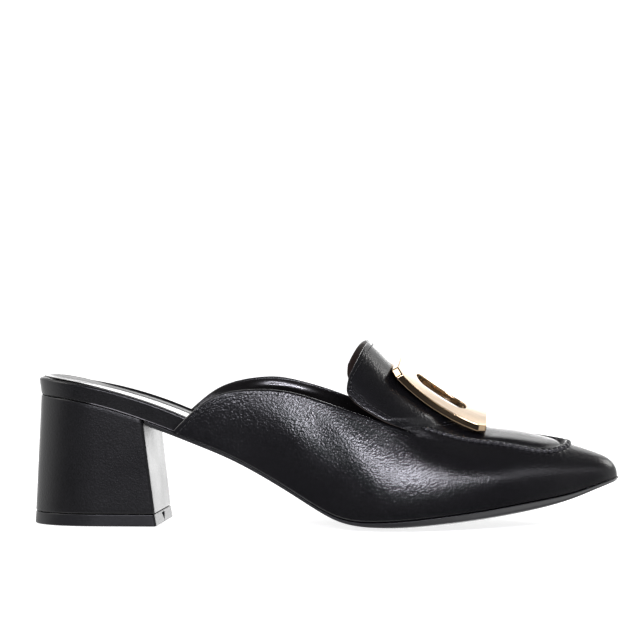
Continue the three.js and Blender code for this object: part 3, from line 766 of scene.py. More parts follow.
# ---- stitches and the gathered seam, as Geometry Nodes along a path
def pathMesh(name, points):
    mesh = bpy.data.meshes.new(name)
    mesh.from_pydata(inFrame(points).tolist(), [(i, i + 1) for i in range(len(points) - 1)], [])
    piece = bpy.data.objects.new(name, mesh)
    bpy.context.scene.collection.objects.link(piece)
    return piece


def nodeTree(name, sizes):
    # a tree that takes a path, named sizes and a material
    tree = bpy.data.node_groups.new(name, "GeometryNodeTree")
    tree.interface.new_socket("Geometry", in_out="INPUT", socket_type="NodeSocketGeometry")
    for size in sizes:
        tree.interface.new_socket(size, in_out="INPUT", socket_type="NodeSocketFloat")
    tree.interface.new_socket("Material", in_out="INPUT", socket_type="NodeSocketMaterial")
    tree.interface.new_socket("Geometry", in_out="OUTPUT", socket_type="NodeSocketGeometry")
    return tree, tree.nodes.new("NodeGroupInput")


def spacedPath(tree, given):
    # the path as a curve with evenly spaced points
    curve = node(tree.nodes, "GeometryNodeMeshToCurve")
    spaced = node(tree.nodes, "GeometryNodeResampleCurve", mode="LENGTH")
    tree.links.new(given.outputs["Geometry"], curve.inputs["Mesh"])
    tree.links.new(curve.outputs["Curve"], spaced.inputs["Curve"])
    return spaced


def finishTree(tree, given, made):
    # realized, shaded smooth and given its material
    whole = node(tree.nodes, "GeometryNodeRealizeInstances")
    smoothed = node(tree.nodes, "GeometryNodeSetShadeSmooth")
    covered = node(tree.nodes, "GeometryNodeSetMaterial")
    result = node(tree.nodes, "NodeGroupOutput")
    tree.links.new(made, whole.inputs["Geometry"])
    for before, after in ((whole, smoothed), (smoothed, covered), (covered, result)):
        tree.links.new(before.outputs["Geometry"], after.inputs["Geometry"])
    tree.links.new(given.outputs["Material"], covered.inputs["Material"])
    return tree


def stitchTree():
    # one bead of thread every pitch along the path
    tree, given = nodeTree("stitchRow", ["Pitch", "Stitch Length", "Thread"])
    nodes, links = tree.nodes, tree.links
    spaced = spacedPath(tree, given)
    tangent = node(nodes, "GeometryNodeInputTangent")
    turn = node(nodes, "FunctionNodeAlignRotationToVector", axis="X")
    bead = node(nodes, "GeometryNodeMeshUVSphere", Segments=8, Rings=6, Radius=0.5)
    scale = node(nodes, "ShaderNodeCombineXYZ")
    shape = node(nodes, "GeometryNodeTransform")
    place = node(nodes, "GeometryNodeInstanceOnPoints")
    links.new(given.outputs["Pitch"], spaced.inputs["Length"])
    links.new(given.outputs["Stitch Length"], scale.inputs["X"])
    links.new(given.outputs["Thread"], scale.inputs["Y"])
    links.new(given.outputs["Thread"], scale.inputs["Z"])
    links.new(bead.outputs["Mesh"], shape.inputs["Geometry"])
    links.new(scale.outputs["Vector"], shape.inputs["Scale"])
    links.new(tangent.outputs["Tangent"], turn.inputs["Vector"])
    links.new(spaced.outputs["Curve"], place.inputs["Points"])
    links.new(shape.outputs["Geometry"], place.inputs["Instance"])
    links.new(turn.outputs["Rotation"], place.inputs["Rotation"])
    return finishTree(tree, given, place.outputs["Instances"])


def gatheredTree():
    # a cord of leather pinched at every stitch
    tree, given = nodeTree("gatheredCord", ["Width", "Pinch", "Pitch"])
    nodes, links = tree.nodes, tree.links

    def reckoned(operation, first, second=None):
        made = node(nodes, "ShaderNodeMath", operation=operation)
        for socket, value in zip(made.inputs, (first, second)):
            if isinstance(value, float):
                socket.default_value = value
            elif value is not None:
                links.new(value, socket)
        return made.outputs[0]

    spaced = spacedPath(tree, given)
    spaced.inputs["Length"].default_value = 0.0003
    run = node(nodes, "GeometryNodeSplineParameter")
    turns = reckoned("DIVIDE", run.outputs["Length"], given.outputs["Pitch"])
    lobe = reckoned("ABSOLUTE", reckoned("SINE", reckoned("MULTIPLY", turns, math.pi)))
    pinched = node(nodes, "ShaderNodeMapRange")
    links.new(lobe, pinched.inputs["Value"])
    links.new(reckoned("SUBTRACT", 1.0, given.outputs["Pinch"]), pinched.inputs["To Min"])
    circle = node(nodes, "GeometryNodeCurvePrimitiveCircle", Resolution=14)
    links.new(reckoned("MULTIPLY", given.outputs["Width"], 0.5), circle.inputs["Radius"])
    radius = node(nodes, "GeometryNodeSetCurveRadius")
    scale = node(nodes, "GeometryNodeInputRadius")
    sweep = node(nodes, "GeometryNodeCurveToMesh", Fill_Caps=True)
    links.new(spaced.outputs["Curve"], radius.inputs["Curve"])
    links.new(pinched.outputs["Result"], radius.inputs["Radius"])
    links.new(radius.outputs["Curve"], sweep.inputs["Curve"])
    links.new(circle.outputs["Curve"], sweep.inputs["Profile Curve"])
    links.new(scale.outputs["Radius"], sweep.inputs["Scale"])
    return finishTree(tree, given, sweep.outputs["Mesh"])


def runTree(name, points, tree, values, slotName):
    # runs a tree on a path and keeps the result as a plain mesh
    path = pathMesh(name + "_path", points)
    modifier = path.modifiers.new("nodes", "NODES")
    modifier.node_group = tree
    for socket in tree.interface.items_tree:
        if socket.item_type == "SOCKET" and socket.in_out == "INPUT" and socket.name in values:
            modifier[socket.identifier] = values[socket.name]
    bpy.context.view_layer.update()
    made = path.evaluated_get(bpy.context.evaluated_depsgraph_get())
    mesh = bpy.data.meshes.new_from_object(made)
    path.modifiers.clear()
    bpy.data.objects.remove(path)
    mesh.name = name
    piece = bpy.data.objects.new(name, mesh)
    bpy.context.scene.collection.objects.link(piece)
    handOver(piece, slotName)


stitchRow, gatheredCord = stitchTree(), gatheredTree()
stitchLook = {"Pitch": 0.0022, "Stitch Length": 0.00175, "Thread": 0.00042, "Material": thread}
edgeStitch = {"below": 1.7, "over": 0.02, "fromCorner": 1.5, "fromThroat": 1.0, "count": 260}


def surfaceAt(station, side, climb, over):
    point = formPoint(station, side, climb)
    normal = formNormal(station, side, climb)
    lift = upperRise(point, np.full(np.shape(station), side)) + over
    return point + normal * lift[..., None]


def toplineStitches(side, name):
    stations = np.linspace(topline["corner"][side] + edgeStitch["fromCorner"],
                           topline["throat"] - edgeStitch["fromThroat"], edgeStitch["count"])
    edge = formPoint(stations, side, edgeClimb(stations, side))
    slopeUp = np.gradient(edge[:, 2], stations)
    height = edge[:, 2] - edgeStitch["below"] * np.sqrt(1 + slopeUp**2)
    climb = climbTo(stations, side, height)
    path = surfaceAt(stations, side, climb, edgeStitch["over"])
    runTree(name, path, stitchRow, stitchLook, "upper_leather")


toplineStitches(lateral, "topline_stitches_lateral")
toplineStitches(medial, "topline_stitches_medial")


tongueStitch = {"margin": 2.0, "height": 42.0, "halfWidth": 33.0, "start": 0.1, "over": 0.03,
                "sideCount": 120, "topCount": 200}


def tongueStitches():
    # along the tongue's outer side, over its top and down the inner side
    sides, tops = tongueStitch["sideCount"], tongueStitch["topCount"]
    highest = 1 - tongueStitch["margin"] / tongueStitch["height"]
    widest = 1 - tongueStitch["margin"] / tongueStitch["halfWidth"]
    side = np.linspace(tongueStitch["start"], highest, sides)
    up = np.concatenate([side, np.full(tops, highest), side[::-1]])
    across = np.concatenate([np.full(sides, -widest), np.linspace(-widest, widest, tops),
                             np.full(sides, widest)])
    path = tonguePoint(up, across, tongueStitch["over"])
    runTree("tongue_stitches", path, stitchRow, stitchLook, "upper_leather")


tongueStitches()


lapStitch = {"up": 0.012, "reach": 0.98, "over": 0.02, "count": 300}


def lapStitches():
    across = np.linspace(-lapStitch["reach"], lapStitch["reach"], lapStitch["count"])
    path = tonguePoint(np.full_like(across, lapStitch["up"]), across, lapLook["leather"] + lapStitch["over"])
    runTree("lap_stitches", path, stitchRow, stitchLook, "upper_leather")


lapStitches()


search = {"from": 140.0, "to": 243.0, "columns": 104, "lowest": 0.25, "rows": 76, "rounds": 12, "ease": 0.7,
          "step": 0.05, "climbStep": -0.005, "mostMove": 2.0, "mostClimb": 0.05, "leastArea": 0.001}


def placeOnForm(plan):
    # station, side and climb of the form's surface straight above places in plan
    side = np.where(plan[:, 1] < lean(plan[:, 0]), lateral, medial)
    stations, climbs = np.meshgrid(np.linspace(search["from"], search["to"], search["columns"]),
                                   np.linspace(search["lowest"], 1, search["rows"]), indexing="ij")
    station, climb = np.zeros(len(plan)), np.zeros(len(plan))
    for s in (lateral, medial):
        known = formPoint(stations, s, climbs)[..., :2].reshape(-1, 2)
        here = np.flatnonzero(side == s)
        nearest = [np.argmin(((known - plan[n])**2).sum(1)) for n in here]
        station[here], climb[here] = stations.reshape(-1)[nearest], climbs.reshape(-1)[nearest]
    step, climbStep, ease = search["step"], search["climbStep"], search["ease"]
    least, most, mostClimb = search["leastArea"], search["mostMove"], search["mostClimb"]
    for _ in range(search["rounds"]):
        at = formPoint(station, side, climb)[:, :2]
        byStation = (formPoint(station + step, side, climb)[:, :2] - at) / step
        byClimb = (formPoint(station, side, climb + climbStep)[:, :2] - at) / climbStep
        miss = plan - at
        area = byStation[:, 0] * byClimb[:, 1] - byStation[:, 1] * byClimb[:, 0]
        area = np.where(np.abs(area) < least, least, area)
        moveStation = (miss[:, 0] * byClimb[:, 1] - miss[:, 1] * byClimb[:, 0]) / area
        moveClimb = (byStation[:, 0] * miss[:, 1] - byStation[:, 1] * miss[:, 0]) / area
        station = np.clip(station + np.clip(moveStation, -most, most) * ease, 130, shoe["length"] - 0.4)
        climb = np.clip(climb + np.clip(moveClimb, -mostClimb, mostClimb) * ease, 0.1, 1.0)
    return station, side, climb


# the raised lip round the apron: the vamp's edge turned up and sewn, in profile from the apron outwards
lip = {
    "out": [-1.9, -1.15, -0.72, -0.62, -0.42, -0.1, 0.25, 0.52, 0.68, 0.8, 1.15, 1.7, 2.4, 3.1],
    "up": [-1.1, -0.75, -0.45, 0.55, 1.0, 1.22, 1.15, 0.85, 0.45, 0.2, 0.28, 0.25, 0.1, -0.3],
    "gather": [0, 0, 0, 0.04, 0.08, 0.1, 0.12, 0.2, 0.3, 0.34, 0.34, 0.26, 0.14, 0.0],
    "start": 161.0, "middle": (190.0, 4.0), "underside": 0.5, "foot": 0.9, "endHeight": 0.4, "endFade": 4.0,
    "unevenness": 0.25, "unevenRates": (1.9, 0.57), "stitchOut": 0.66, "stitchUp": 0.95, "beadOut": 1.15,
    "beadUp": 0.5, "beadSink": 0.6, "evenings": 30,
}


def makeLip():
    shown = seamPlan[:, 0] > lip["start"]
    plan, run = seamPlan[shown], seamRun[shown]
    station, side, climb = placeOnForm(plan)
    point = formPoint(station, side, climb)
    normal = formNormal(station, side, climb)
    for _ in range(lip["evenings"]):
        normal[1:-1] = (normal[:-2] + normal[1:-1] * 2 + normal[2:]) / 4
    normal = unit(normal)
    along = unit(np.gradient(point, axis=0))
    out = unit(np.cross(normal, along))
    outside = unit(point[:, :2] - np.array(lip["middle"]))
    if (out[:, :2] * outside).sum() < 0:
        out = -out
    wave = 0.5 - 0.5 * np.cos(2 * math.pi * run / gathers["pitch"])
    quick, slow = lip["unevenRates"]
    rough = 1 + lip["unevenness"] * np.sin(run * quick) * np.sin(run * slow + 1)
    ends = smooth(run - run[0], 0, lip["endFade"]) * smooth(run[-1] - run, 0, lip["endFade"])
    rows = []
    for o, u, g in zip(lip["out"], lip["up"], lip["gather"]):
        height = u * mix(lip["endHeight"], 1, ends) - g * (1 - wave) * rough
        rows.append(point + out * o + normal * height[:, None])
    grid = np.stack(rows, 1)
    under = grid - normal[:, None] * lip["underside"]
    crest = slice(3, 9)  # the raised part's underside stays flat
    across = np.array(lip["out"][crest])[None, :, None]
    under[:, crest] = (point - normal * lip["foot"])[:, None] + out[:, None] * across
    piece = shellPiece("apron_lip", grid, under, [calf], bulge=0.0)
    handOver(piece, "upper_leather")
    ends = ends[:, None]
    holes = point + out * lip["stitchOut"] + normal * lip["stitchUp"]
    bead = point + out * lip["beadOut"] + normal * mix(-lip["beadSink"], lip["beadUp"], ends)
    return holes, bead


seamStitches, seamBead = makeLip()
beadLook = {"Width": 0.0021, "Pinch": 0.5, "Pitch": gathers["pitch"] / 1000, "Material": beadCalf}
runTree("gathered_bead", seamBead, gatheredCord, beadLook, "upper_leather")
lipStitch = {**stitchLook, "Pitch": gathers["pitch"] / 2000, "Stitch Length": 0.0010, "Thread": 0.00045}
runTree("apron_stitches", seamStitches, stitchRow, lipStitch, "upper_leather")


# ---- flat pieces: insole, sock and outsole
def planEdge(station, side, inset):
    # the feather's outline in plan, moved inwards
    edge = formPoint(station, side, 0.0)
    outward = formNormal(station, side, 0.002)
    outward[..., 2] = 0
    return (edge - unit(outward) * np.asarray(inset, float)[..., None])[..., :2]


def planMiddle(station):
    # the spine that a flat piece's rows run out from, which stops short of both ends
    _, _, backTurn, toeTurn = outline(station)
    backShare, toeShare = backTurn * 2 / math.pi, toeTurn * 2 / math.pi
    x = np.where(backShare > 0, mix(seat["middle"], seat["back"] + seat["spineStart"], backShare), station)
    x = np.where(toeShare > 0, mix(toe["start"], shoe["length"] - toe["spineEnd"], toeShare), x)
    return np.stack([x, lean(x)], -1)


seatShape = {"start": 3, "full": 26, "ease": 66, "end": 92, "dipFrom": 0.4, "dipTo": 0.88, "rimFrom": 0.93,
             "rimTo": 0.965}


def innerShape(x, f, dip, rim):
    # the open seat sinks towards the inner side, inside a standing rim
    along = (smooth(x, seatShape["start"], seatShape["full"])
             * (1 - smooth(x, seatShape["ease"], seatShape["end"])))
    return along * (dip * smooth(f, seatShape["dipFrom"], seatShape["dipTo"])
                    + rim * smooth(f, seatShape["rimFrom"], seatShape["rimTo"]))


def slabPiece(name, stations, inset, top, bottom, look, materials, openStart=False):
    # a slab between two heights with rounded edges; top and bottom take x and how far out from the middle
    fromMiddle = np.concatenate([np.linspace(0, 0.7, 7), [0.8, 0.88, 0.94]])
    corner = np.linspace(0, math.pi / 2, 6)
    halves = []
    for side in (lateral, medial):
        edge = planEdge(stations, side, inset(stations))
        middle = planMiddle(stations)
        reach = np.linalg.norm(middle - edge, axis=1)
        inward = (middle - edge) / np.maximum(reach, 1e-6)[:, None]
        rows = []

        def put(distance, height):
            flat = edge + inward * np.reshape(distance, (-1, 1))
            rows.append(np.concatenate([flat, np.reshape(height(flat[:, 0]), (-1, 1))], 1))

        lowR, topR, under = look["lowRound"], look["topRound"], look["under"]
        if callable(lowR):
            lowR, under = lowR(edge[:, 0]), under(edge[:, 0])

        def topAt(x, f):
            dip, rim = look.get("innerDip", 0), look.get("innerRim", 0)
            return top(x, f) + (side == medial) * innerShape(x, f, dip, rim)

        def bottomAt(x, f):
            return topAt(x, f) - look["thickness"] if "thickness" in look else bottom(x, f)

        for f in fromMiddle:
            put(under + (reach - under) * (1 - f), lambda x, f=f: bottomAt(x, f))
        for a in corner:
            put(under + lowR * (1 - math.sin(a)), lambda x, a=a: bottomAt(x, 1) + lowR * (1 - math.cos(a)))
        for share in (0.06, 0.35, 0.65, 0.94):  # up the side wall
            put(under * (1 - share) + 0 * reach,
                lambda x, h=share: mix(bottomAt(x, 1) + lowR, topAt(x, 1) - topR, h))
        for a in corner[::-1]:
            put(0 * reach + topR * (1 - math.sin(a)), lambda x, a=a: topAt(x, 1) - topR * (1 - math.cos(a)))
        for f in fromMiddle[::-1]:
            put(reach * (1 - f), lambda x, f=f: topAt(x, f))
        halves.append(np.stack(rows, 1))
    rowCount = halves[0].shape[1]
    points = np.concatenate([h.reshape(-1, 3) for h in halves])
    half = len(stations) * rowCount
    faces = gridFaces(len(stations), rowCount) + gridFaces(len(stations), rowCount, half)
    if openStart:
        for r in range(rowCount - 1):
            faces.append((r, r + 1, half + r + 1, half + r))
    return meshFrom(name, points, faces, materials)


insoleRows = {"x": [0, 30, 66, 95, 130, 246], "thickness": [7.2, 7.2, 7.3, 5, 3.4, 2.8],
              "cup": [1.2, 1.7, 1.7, 1.2, .7, .4]}
insoleThickness = spline(insoleRows["x"], insoleRows["thickness"])
insoleCup = spline(insoleRows["x"], insoleRows["cup"])
soleRows = {
    "x": [46, 58, 72, 100, 128, 150, 172, 190, 214, 229, 245],
    "inset": [3.1, 2.5, .9, .3, -.3, -.7, -.8, -.8, -.8, -.7, -.6],
    "edge": [1.9, 1.7, 1.5, 1.4, 1.3, 2.2, 2.9, 3.2, 3.1, 2.1, 1.3],
    "swell": [.2, .4, .6, .7, 1.0, 2.6, 3.0, 2.5, 1.4, .8, .2],
    "dip": [0, .1, .3, .6, .9, 1.0, 1.7, 1.7, 1.1, .5, .1],
}
soleInset, soleEdgeDepth, soleSwell, soleDip = (spline(soleRows["x"], soleRows[k])
                                                for k in ("inset", "edge", "swell", "dip"))


def insoleTop(x, f):
    upright = insoleThickness(x) * np.sqrt(1 + slope(feather, x)**2)
    return feather(x) + upright - insoleCup(x) * (1 - f**4)


def insoleBottom(x, f):
    return feather(x) - soleDip(x) * (1 - f**2)


def featherGap(x):
    return gap * np.sqrt(1 + slope(feather, x)**2)


roundStations = np.concatenate([seat["middle"] * np.arange(26) / 26,
                                np.linspace(seat["middle"], toe["start"], 110, endpoint=False),
                                np.linspace(toe["start"], shoe["length"], 30)])
insoleLook = {"lowRound": 0.5, "topRound": 1.1, "under": 0.8, "innerDip": -1.5, "innerRim": 1.0}
insole = slabPiece("insole_band", roundStations, lambda s: insoleInset + 0 * s, insoleTop, insoleBottom,
                   insoleLook, [bandCalf])
handOver(insole, "insole_leather", "insole")

sockLook = {"margin": 1.9, "height": 0.15, "backRise": 0.9, "riseEnd": 40, "lowRound": 0.05,
            "topRound": 0.3, "under": 0.0, "thickness": 0.45, "innerDip": -1.5}


def sockTop(x, f):
    atBack = 1 - smooth(x, 0, sockLook["riseEnd"])
    return insoleTop(x, f) + sockLook["height"] + sockLook["backRise"] * atBack * f**2


sock = slabPiece("sock", roundStations, lambda s: insoleInset + sockLook["margin"] + 0 * s, sockTop, None,
                 sockLook, [liningCalf])
handOver(sock, "insole_leather")

soleStart = 47.9
soleStations = np.concatenate([np.linspace(soleStart, toe["start"], 150, endpoint=False),
                               np.linspace(toe["start"], shoe["length"], 36)])


def soleTop(x, f):
    return feather(x) - featherGap(x) - soleDip(x) * (1 - f**2)


def soleBottom(x, f):
    return np.maximum(feather(x) - featherGap(x) - soleEdgeDepth(x) - soleSwell(x) * (1 - f**2), 0)


soleLook = {
    "topRound": 0.3,
    "lowRound": lambda x: soleEdgeDepth(x) * 0.35,
    "under": lambda x: soleEdgeDepth(x) * mix(0.1, 0.55, smooth(x, 150, 215)),
}
outsole = slabPiece("thin_outsole", soleStations, soleInset, soleTop, soleBottom, soleLook, [soleEdge],
                    openStart=True)
handOver(outsole, "outsole_rubber", "outsole")

# ---- heel and top lift
heelShapes = {
    "top": {"back": -0.4, "middle": 26, "breast": 46.8, "middleHalf": 25.1, "breastHalf": 24.5,
            "roundness": 2.2},
    "foot": {"back": -2.7, "middle": 26, "breast": 51.6, "middleHalf": 23.5, "breastHalf": 22.5,
             "roundness": 2.3},
    "lift": {"back": -3.0, "middle": 26, "breast": 52.4, "middleHalf": 23.6, "breastHalf": 22.6,
             "roundness": 2.3},
}
liftThickness = 5.0


def heelOutline(shape, cornerRadius, shrink=0.0, frontCount=10):
    # a D round the back, with rounded corners at the breast, starting at the breast's middle
    turn = np.linspace(0, math.pi / 2, 40)
    out, along = roundedCorner(turn, shape["roundness"])
    backX = shape["middle"] - (shape["middle"] - shape["back"] - shrink) * along
    backY = (shape["middleHalf"] - shrink) * out
    breast, half, r = shape["breast"] - shrink, shape["breastHalf"] - shrink, cornerRadius
    arc = np.linspace(0, math.pi / 2, 8)
    cornerX, cornerY = breast - r + r * np.cos(arc), half - r + r * np.sin(arc)
    sideX = np.linspace(breast - r, shape["middle"], 14)[1:-1]
    sideY = mix(half, shape["middleHalf"] - shrink, (breast - r - sideX) / (breast - r - shape["middle"]))
    frontY = np.linspace(0, half - r, frontCount)[:-1]
    x = np.concatenate([np.full(frontCount - 1, breast), cornerX, sideX, backX])
    y = np.concatenate([frontY, cornerY, sideY, backY])
    return np.concatenate([np.stack([x, y], -1), np.stack([x, -y], -1)[::-1][1:-1]])


def stackPiece(name, loops, materials, sharpAngle):
    # joins closed loops one above the other and closes the ends with fans
    count = len(loops[0])
    points = np.concatenate(loops + [loops[0].mean(0)[None], loops[-1].mean(0)[None]])
    faces = gridFaces(len(loops), count, closed=True)
    last = (len(loops) - 1) * count
    for j in range(count):
        k = (j + 1) % count
        faces += [(len(loops) * count, k, j), (len(loops) * count + 1, last + j, last + k)]
    return meshFrom(name, points, faces, materials, sharpAngle=sharpAngle)


def withHeight(loop, height):
    return np.concatenate([loop, np.reshape(height + 0 * loop[:, 0], (-1, 1))], 1)


def makeHeel():
    look = {"corner": 1.7, "lowRound": 0.5, "topRound": 0.5, "rows": 26}
    low = liftThickness + gap
    loops = []
    for a in np.linspace(0, math.pi / 2, 5)[:-1]:
        plan = heelOutline(heelShapes["foot"], look["corner"], look["lowRound"] * (1 - math.sin(a)))
        loops.append(withHeight(plan, low + look["lowRound"] * (1 - math.cos(a))))
    foot = heelOutline(heelShapes["foot"], look["corner"])
    top = heelOutline(heelShapes["top"], look["corner"])
    topZ = feather(top[:, 0]) - featherGap(top[:, 0])
    for share in np.linspace(0, 1, look["rows"]):
        plan = mix(foot, top, share)
        loops.append(withHeight(plan, mix(low + look["lowRound"], topZ - look["topRound"], share)))
    for a in np.linspace(math.pi / 2, 0, 5)[1:]:
        plan = heelOutline(heelShapes["top"], look["corner"], look["topRound"] * (1 - math.sin(a)))
        loops.append(withHeight(plan, topZ - look["topRound"] * (1 - math.cos(a))))
    piece = stackPiece("covered_heel", loops, [heelCalf], 50)
    handOver(piece, "heel_leather", "heel_block")


makeHeel()


def makeLift():
    look = {"corner": 1.4, "round": 0.35, "front": 60, "rows": 22, "notchHalf": 3.6, "notchDepth": 1.3,
            "notchFoot": 1.0, "notchTop": 4.2, "notchBehind": 40, "notchSteepness": 4}

    def outlineOf(shape, shrink):
        return heelOutline(heelShapes[shape], look["corner"], shrink, look["front"])

    loops = []
    for a in np.linspace(0, math.pi / 2, 4):
        loops.append(withHeight(outlineOf("lift", look["round"] * (1 - math.sin(a))),
                                look["round"] * (1 - math.cos(a))))
    for share in np.linspace(0, 1, look["rows"])[1:]:
        plan = mix(outlineOf("lift", 0), outlineOf("foot", 0), share)
        loops.append(withHeight(plan, mix(look["round"], liftThickness - look["round"], share)))
    for a in np.linspace(math.pi / 2, 0, 4)[1:]:
        loops.append(withHeight(outlineOf("foot", look["round"] * (1 - math.sin(a))),
                                liftThickness - look["round"] * (1 - math.cos(a))))
    for loop in loops:  # a small V cut in the front face, wide at its top
        share = (loop[:, 2] - look["notchFoot"]) / (look["notchTop"] - look["notchFoot"])
        half = np.where((share > 0) & (share <= 1), share, 0) * look["notchHalf"]
        inside = np.clip(1 - np.abs(loop[:, 1]) / np.maximum(half, 1e-6), 0, 1)
        inside *= loop[:, 0] > look["notchBehind"]
        loop[:, 0] -= look["notchDepth"] * np.minimum(inside * look["notchSteepness"], 1)
    piece = stackPiece("rubber_lift", loops, [liftRubber], 50)
    handOver(piece, "lift_rubber", "top_lift")


makeLift()

# ---- gold ring
ring = {
    "length": 47.6, "width": 41.8, "thickness": 3.0, "chamfer": 3.4, "openLength": 26.0, "openWidth": 18.5,
    "openRoundness": 2.7, "middle": (168.3, 3.5, 53.0), "tilt": 33.2, "roll": 11.0, "swing": 6.2,
    "alongRadius": 86.0, "acrossRadius": 240.0, "edgeRound": 0.5, "cornerRound": 0.7, "draft": 0.8,
}


def turned(points, roll, tilt, swing):
    # turns about x, then y, then z, in degrees
    a, b, c = (math.radians(v) for v in (roll, tilt, swing))
    aboutX = np.array([[1, 0, 0], [0, math.cos(a), -math.sin(a)], [0, math.sin(a), math.cos(a)]])
    aboutY = np.array([[math.cos(b), 0, math.sin(b)], [0, 1, 0], [-math.sin(b), 0, math.cos(b)]])
    aboutZ = np.array([[math.cos(c), -math.sin(c), 0], [math.sin(c), math.cos(c), 0], [0, 0, 1]])
    return points @ (aboutZ @ aboutY @ aboutX).T


def ringPoint(along, across, height):
    bend, rollUp = along / ring["alongRadius"], across / ring["acrossRadius"]
    forward = (ring["alongRadius"] - height) * np.sin(bend)
    sideways = (ring["acrossRadius"] + height) * np.sin(rollUp)
    up = (ring["alongRadius"] - (ring["alongRadius"] - height) * np.cos(bend)
          - ring["acrossRadius"] * (1 - np.cos(rollUp)))
    flat = np.stack([forward, sideways, up], -1)
    return turned(flat, ring["roll"], ring["tilt"], ring["swing"]) + np.array(ring["middle"])


def roundedPolygon(corners, radius, spacing):
    # a polygon with its corners eased, as closely spaced points
    made = []
    count = len(corners)
    for i in range(count):
        before, at, after = corners[i - 1], corners[i], corners[(i + 1) % count]
        a = at + unit(before - at) * radius
        b = at + unit(after - at) * radius
        t = np.linspace(0, 1, 7)[:, None]
        made.append((1 - t)**2 * a + 2 * t * (1 - t) * at + t**2 * b)
        nextAt = after + unit(at - after) * radius
        steps = max(int(np.linalg.norm(nextAt - b) / spacing), 1)
        made.append(mix(b, nextAt, (np.arange(1, steps) / steps)[:, None]))
    return np.concatenate(made)


def makeRing():
    a, b, cut = ring["length"] / 2, ring["width"] / 2, ring["chamfer"]
    corners = np.array([[a, cut - b], [a, b - cut], [a - cut, b], [cut - a, b], [-a, b - cut], [-a, cut - b],
                        [cut - a, -b], [a - cut, -b]])
    edge = roundedPolygon(corners, ring["cornerRound"], 0.8)
    halfOpen = np.array([ring["openLength"] / 2, ring["openWidth"] / 2])
    power = ring["openRoundness"]
    size = (np.abs(edge / halfOpen)**power).sum(1)**(1 / power)
    opening = edge / size[:, None]
    inward = unit(opening - edge)
    across = np.linalg.norm(opening - edge, axis=1)
    r, thick = ring["edgeRound"], ring["thickness"]
    arc = np.linspace(0, math.pi / 2, 5)
    rows = []

    def put(distance, height):
        tuck = ring["draft"] * height / thick * (1 - distance / across)
        flat = edge + inward * np.reshape(distance + tuck, (-1, 1))
        rows.append(ringPoint(flat[:, 0], flat[:, 1], height))

    # shares of a wall's height and a face's width, held close to the edges
    walls, flats = [0.04, 0.35, 0.65, 0.96], [0.01, 0.2, 0.4, 0.6, 0.8, 0.99]
    for angle in arc:  # outer wall, from the underside up
        put(r * (1 - math.sin(angle)), r * (1 - math.cos(angle)))
    for share in walls:
        put(0, mix(r, thick - r, share))
    for angle in arc[::-1]:
        put(r * (1 - math.sin(angle)), thick - r * (1 - math.cos(angle)))
    for share in flats:
        put(mix(r, across - r, share), thick)
    for angle in arc:
        put(across - r * (1 - math.sin(angle)), thick - r * (1 - math.cos(angle)))
    for share in walls[::-1]:
        put(across, mix(r, thick - r, share))
    for angle in arc[::-1]:
        put(across - r * (1 - math.sin(angle)), r * (1 - math.cos(angle)))
    for share in flats[::-1]:
        put(mix(r, across - r, share), 0)
    points = np.concatenate(rows)
    count = len(edge)
    faces = gridFaces(len(rows), count, closed=True)
    last = (len(rows) - 1) * count
    for j in range(count):
        k = (j + 1) % count
        faces.append((last + j, last + k, k, j))
    piece = meshFrom("gold_ring", points, faces, [gold], sharpAngle=45)
    handOver(piece, "gold_metal", "buckle_ring")


makeRing()

